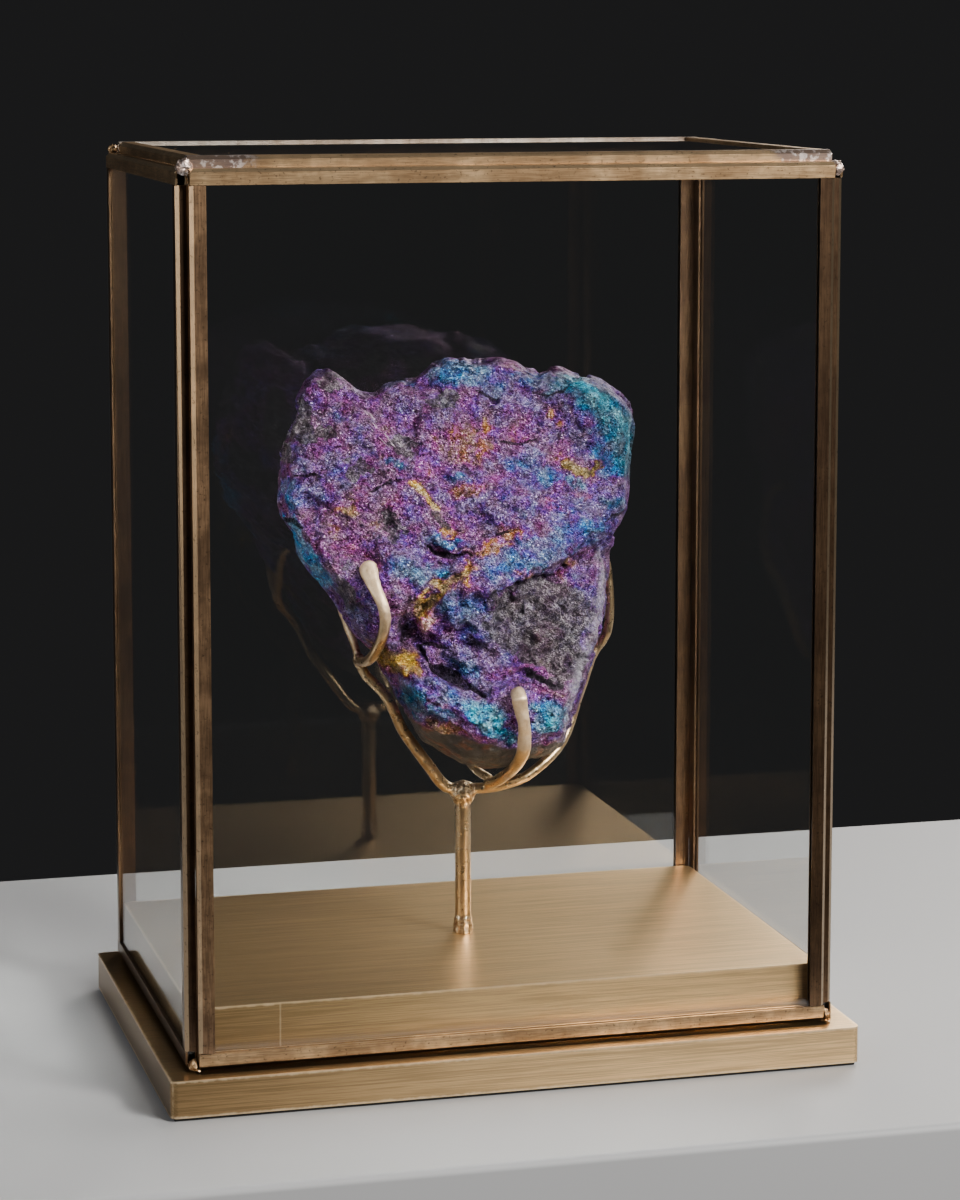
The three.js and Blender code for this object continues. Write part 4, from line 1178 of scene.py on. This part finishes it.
class ORECASE_OT_stone(bpy.types.Operator):
    """Breaks the stone's surface into plates, clefts and grains, tarnishes it and paints shade into its
    clefts and pits
    """
    bl_idname = "ore_case.stone"
    bl_label = "Build the Stone"

    def execute(self, context):
        look = context.scene.ore_case_stone
        stone = merged_copy("peacock_ore", "ore_stone")
        remeshed(stone, look.grid)
        apply_modifier(stone, "SMOOTH", factor=0.5, iterations=ORE_RELAX)

        places, normals = vertex_arrays(stone)
        local = local_frame(places)
        u, v, w = local.T
        turned = normals @ np.array(ORE_ROTATION.to_matrix())
        front = smooth(-v, 4, 12)
        face = smooth(-v, -8, 0)
        ragged, film, coarse, small, behind = np.array([broken_rock(*place) for place in local]).T

        # Long features follow the fracture, and patches of colour wander more than lines do.
        wave_u, wave_w = u + 3.6 * ragged, w - 3.2 * ragged
        line_u, line_w = u + 0.9 * ragged, w - 0.9 * ragged
        cleft = np.zeros(u.shape)
        for points, half, depth in CLEFTS.values():
            cleft = np.maximum(cleft, depth * furrow(line_u, line_w, points, half))
        lip = np.zeros(u.shape)
        for points, half, height in RIDGES.values():
            lip = np.maximum(lip, height * furrow(line_u, line_w, points, half))
        crack = np.full(u.shape, NO_CRACK)
        for points, half in CRACKS.values():
            crack = np.minimum(crack, line_gap(line_u, line_w, points, half))

        bare = np.zeros(u.shape)
        for *oval, strength in BARE.values():
            bare = np.maximum(bare, strength * spot(wave_u, wave_w, *oval))
        lift = np.zeros(u.shape)
        for *oval, tarnish, strength, stops in FILMS.values():
            share = strength * spot(wave_u, wave_w, *oval) * face
            film += (tarnish - film) * share
            lift += (stops - lift) * share
        for points, half, tarnish, strength, stops in BANDS.values():
            inside = half - line_gap(wave_u, wave_w, points, 0)
            share = strength * smooth(inside, -0.25 * half, 0.45 * half) * face
            film += (tarnish - film) * share
            lift += (stops - lift) * share
            bare *= 1 - share
        # Spots of painted shade in recesses, under the brow and beside the claw.
        painted_shade = np.zeros(u.shape)
        for *oval, strength in PAINTED_SHADE_SPOTS.values():
            painted_shade = np.maximum(painted_shade, strength * spot(wave_u, wave_w, *oval))
        bare = bare * face + 0.8 * smooth(behind, 0.05, 0.3) * (1 - face)
        floor_w = np.interp(u, *zip(*GROUND_LINE))
        ground = smooth(floor_w - w + 1.2 * ragged, -0.6, 1.0)

        # Painted shade darkens faces that look to the right, and upper faces that look up. Edges that turn
        # from the front at the upper right are made pale: partly wear and partly a painted highlight.
        right, back, up = turned.T
        lift -= 0.9 * smooth(up, 0.3, 0.7) * (1 - smooth(-back, 0.5, 0.8)) * smooth(w, 10, 40)
        lift -= 0.5 * smooth(right, 0.35, 0.75)
        edge = smooth(-back, 0.2, 0.4) * (1 - smooth(-back, 0.5, 0.7))
        edge = 0.4 * edge * smooth(u, 20, 45) * smooth(w, 10, 30)
        arris = RIDGES["right_arris"][0]
        worn = np.maximum(edge, furrow(line_u, line_w, arris, 2.2) * front)

        rough = coarse + small * (0.8 + 0.8 * bare + 0.6 * smooth(-w, 10, 30))
        rise = look.relief * rough * (1 - 0.7 * ground)
        reach = np.where(rise > 0, PLATE_REACH, PLATE_SINK)
        rise = reach * np.tanh(rise / reach)
        rise += front * (lip - cleft)
        near = 1 - smooth(stand_gaps(context, places), ORE_CLEAR, ORE_CLEAR * 1.8)
        rise = np.where(rise > 0, rise * (1 - near), rise)
        move_vertices(stone, places + normals * rise[:, None] * MM)

        # Painted shade for small pits, and for the clefts and shade spots of the front.
        pits = 0.3 * smooth(-small, 0.2, 0.9) * (1 - ground)
        cleft_shade = 0.8 * smooth(cleft, 0.8, 3.0) + 0.9 * painted_shade
        marks = {
            "film": film,
            "lift": lift,
            "bare": bare,
            "ground": ground,
            "worn": worn,
            "crack": np.where(front > 0.3, crack, NO_CRACK),
            "needles": spot(u, w, *NEEDLES) * front,
            "hollow": np.clip(pits + front * cleft_shade, 0, 1),
        }
        for name, values in marks.items():
            keep_values(stone, name, values)
        select_only(stone)
        bpy.ops.object.shade_smooth_by_angle(angle=ORE_SMOOTH_ANGLE)
        install(stone, ore_material(look), "ore", "peacock_ore")
        return {"FINISHED"}


class ORECASE_OT_strips(bpy.types.Operator):
    """Rounds the twenty brass strips of the case and gives them their patina, with painted shade on all but
    the lit strips
    """
    bl_idname = "ore_case.strips"
    bl_label = "Build the Brass Strips"

    def execute(self, context):
        look = context.scene.ore_case_brass
        # Lit and painted-shade copies of the strip brass.
        bright = (look.came, look.came_shade)
        dark = (look.shaded_came, look.shaded_came_shade)
        finishes = {}
        for axis, letter in enumerate("xyz"):
            finishes[letter] = strip_material(
                look, "strip_brass_along_" + letter, *bright, axis, BRIGHT_ROUGHNESS
            )
            finishes["dark_" + letter] = strip_material(
                look, "dark_strip_brass_along_" + letter, *dark, axis, DARK_ROUGHNESS
            )
        stained = strip_material(look, "stained_strip_brass", *bright, 0, BRIGHT_ROUGHNESS, stained=True)
        tinned = strip_material(
            look, "tinned_strip_brass", look.tinned, look.shaded_came, 0, BRIGHT_ROUGHNESS
        )
        upright = strip_material(
            look, "upright_strip_brass", look.upright, look.shaded_came_shade, 2, BRIGHT_ROUGHNESS
        )
        special = {"came_top_bottom": stained, "came_top_top": tinned, "came_front_left": upright}
        for side in SIDES:
            for edge in STRIP_EDGES:
                node = f"came_{side}_{edge}"
                strip = merged_copy(node, f"strip_{side}_{edge}")
                low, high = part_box(node)
                size = high - low
                along = max(range(3), key=lambda axis: size[axis])
                square_ends(strip, along, edge in ("top", "bottom"))
                round_along(strip, along, look.strip_round)
                rounded(strip, STRIP_END_ROUND)
                _, normals = vertex_arrays(strip)
                # Bevel faces are marked for bright edges, partly wear and partly a painted highlight.
                keep_values(strip, "rubbed", smooth(1 - np.abs(normals).max(axis=1), 0.02, 0.2))
                # Strips outside the lit set take the painted-shade copy.
                tone = "" if node in LIT_STRIPS else "dark_"
                finish = special.get(node, finishes[tone + "xyz"[along]])
                install(strip, finish, "came_brass", node)
        return {"FINISHED"}


class ORECASE_OT_beads(bpy.types.Operator):
    """Melts the eight solder beads over the corners of the case"""
    bl_idname = "ore_case.beads"
    bl_label = "Build the Solder Beads"

    def execute(self, context):
        look = context.scene.ore_case_brass
        bright = solder_material(look, "corner_solder", look.solder, look.solder_shade)
        tarnished = solder_material(look, "tarnished_solder", look.came, look.came_shade)
        beads = [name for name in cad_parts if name.startswith("bead_")]
        for node in sorted(beads):
            bead = merged_copy(node, node.replace("bead_", "solder_"))
            remeshed(bead, BEAD_GRID)
            apply_modifier(bead, "SMOOTH", factor=0.5, iterations=4)
            places, normals = vertex_arrays(bead)
            growth, drop = BRIGHT_BEADS.get(node, TARNISHED_BEAD)
            lumps = [noise.fractal(Vector(place) / MM / 2.2, 1.0, 2.0, 3) for place in places]
            rise = growth + BEAD_LUMP * np.array(lumps)
            places += normals * rise[:, None] * MM
            places[:, 2] = np.minimum(places[:, 2] - drop * MM, CAD_BOX[1][2])
            move_vertices(bead, places)
            bpy.ops.object.shade_smooth()
            install(bead, bright if node in BRIGHT_BEADS else tarnished, "solder", node)
        return {"FINISHED"}


class ORECASE_OT_base(bpy.types.Operator):
    """Rounds the brushed slab and plinth and lays the felt under them"""
    bl_idname = "ore_case.base"
    bl_label = "Build the Base"

    def execute(self, context):
        look = context.scene.ore_case_brass
        for node in ("base_slab", "base_plinth"):
            board = merged_copy(node, node.replace("base_", "brushed_"))
            round_along(board, 2, look.corner_round, 0)
            rounded(board, look.base_round)
            install(board, base_material(look, node), "base_brass", node)
        pad = merged_copy("base_felt", "felt_pad")
        rounded(pad, FELT_ROUND, 2)
        install(pad, felt_material(), "felt", "base_felt")
        raw = board_material()
        for node in CORES:
            dress(node, raw)
        return {"FINISHED"}


class ORECASE_OT_glass(bpy.types.Operator):
    """Glazes the five panes of the case"""
    bl_idname = "ore_case.glass"
    bl_label = "Glaze the Case"

    def execute(self, context):
        finish = glass_material(context.scene.ore_case_glass)
        for node in PANES:
            dress(node, finish)
        return {"FINISHED"}


def area_lamp(name, power, place, width, height, tint):
    """A soft box at a place, turned to the middle of the case."""
    data = bpy.data.lights.new(name, "AREA")
    data.shape = "RECTANGLE"
    data.size = width
    data.size_y = height
    data.energy = power
    data.color = tint
    lamp = bpy.data.objects.new(name, data)
    lamp.location = place
    lamp.rotation_euler = (LAMP_AIM - Vector(place)).to_track_quat("-Z", "Y").to_euler()
    bpy.context.scene.collection.objects.link(lamp)


class ORECASE_OT_studio(bpy.types.Operator):
    """Sets the pale table, the soft lamps and the camera"""
    bl_idname = "ore_case.studio"
    bl_label = "Set the Studio"

    def execute(self, context):
        look = context.scene.ore_case_studio
        bpy.ops.object.select_all(action="DESELECT")
        bpy.ops.mesh.primitive_cube_add(size=1, location=TABLE_MIDDLE, scale=TABLE_SIZE)
        table = context.active_object
        table.name = "table_top"
        bpy.ops.object.transform_apply(location=True, rotation=True, scale=True)
        rounded(table, TABLE_ROUND)
        table.data.materials.append(floor_material(look))

        world = bpy.data.worlds.new("studio_air")
        world.use_nodes = True
        world.node_tree.nodes["Background"].inputs["Color"].default_value = colour(look.air)
        context.scene.world = world
        for name, lamp in LAMPS.items():
            area_lamp(name + "_lamp", getattr(look, name), *lamp)

        data = bpy.data.cameras.new("camera")
        data.lens = CAMERA_LENS
        data.sensor_width = CAMERA_SENSOR
        data.shift_y = CAMERA_SHIFT
        data.clip_start = CAMERA_NEAR
        camera = bpy.data.objects.new("camera", data)
        camera.location = CAMERA_PLACE
        camera.rotation_euler = (math.pi / 2 - CAMERA_DOWN, 0, CAMERA_YAW)
        context.scene.collection.objects.link(camera)
        context.scene.camera = camera
        return {"FINISHED"}


STEPS = (
    ORECASE_OT_studio,
    ORECASE_OT_stand,
    ORECASE_OT_stone,
    ORECASE_OT_strips,
    ORECASE_OT_beads,
    ORECASE_OT_base,
    ORECASE_OT_glass,
)


class ORECASE_PT_panel(bpy.types.Panel):
    """Steps that dress the case, in order, with their settings"""
    bl_idname = "ORECASE_PT_panel"
    bl_label = "Ore Case"
    bl_space_type = "VIEW_3D"
    bl_region_type = "UI"
    bl_category = "Ore Case"

    def draw(self, context):
        for step in STEPS:
            self.layout.operator(step.bl_idname)
        for name, look in LOOKS.items():
            box = self.layout.box()
            for key in look.__annotations__:
                box.prop(getattr(context.scene, name), key)


def register():
    for look in LOOKS.values():
        bpy.utils.register_class(look)
    for name, look in LOOKS.items():
        setattr(bpy.types.Scene, name, PointerProperty(type=look))
    for step in STEPS:
        bpy.utils.register_class(step)
    bpy.utils.register_class(ORECASE_PT_panel)


def unregister():
    bpy.utils.unregister_class(ORECASE_PT_panel)
    for step in reversed(STEPS):
        bpy.utils.unregister_class(step)
    for name in LOOKS:
        delattr(bpy.types.Scene, name)
    for look in LOOKS.values():
        bpy.utils.unregister_class(look)


def main():
    register()
    for step in STEPS:
        family, name = step.bl_idname.split(".")
        getattr(getattr(bpy.ops, family), name)()


if __name__ == "__main__":
    main()
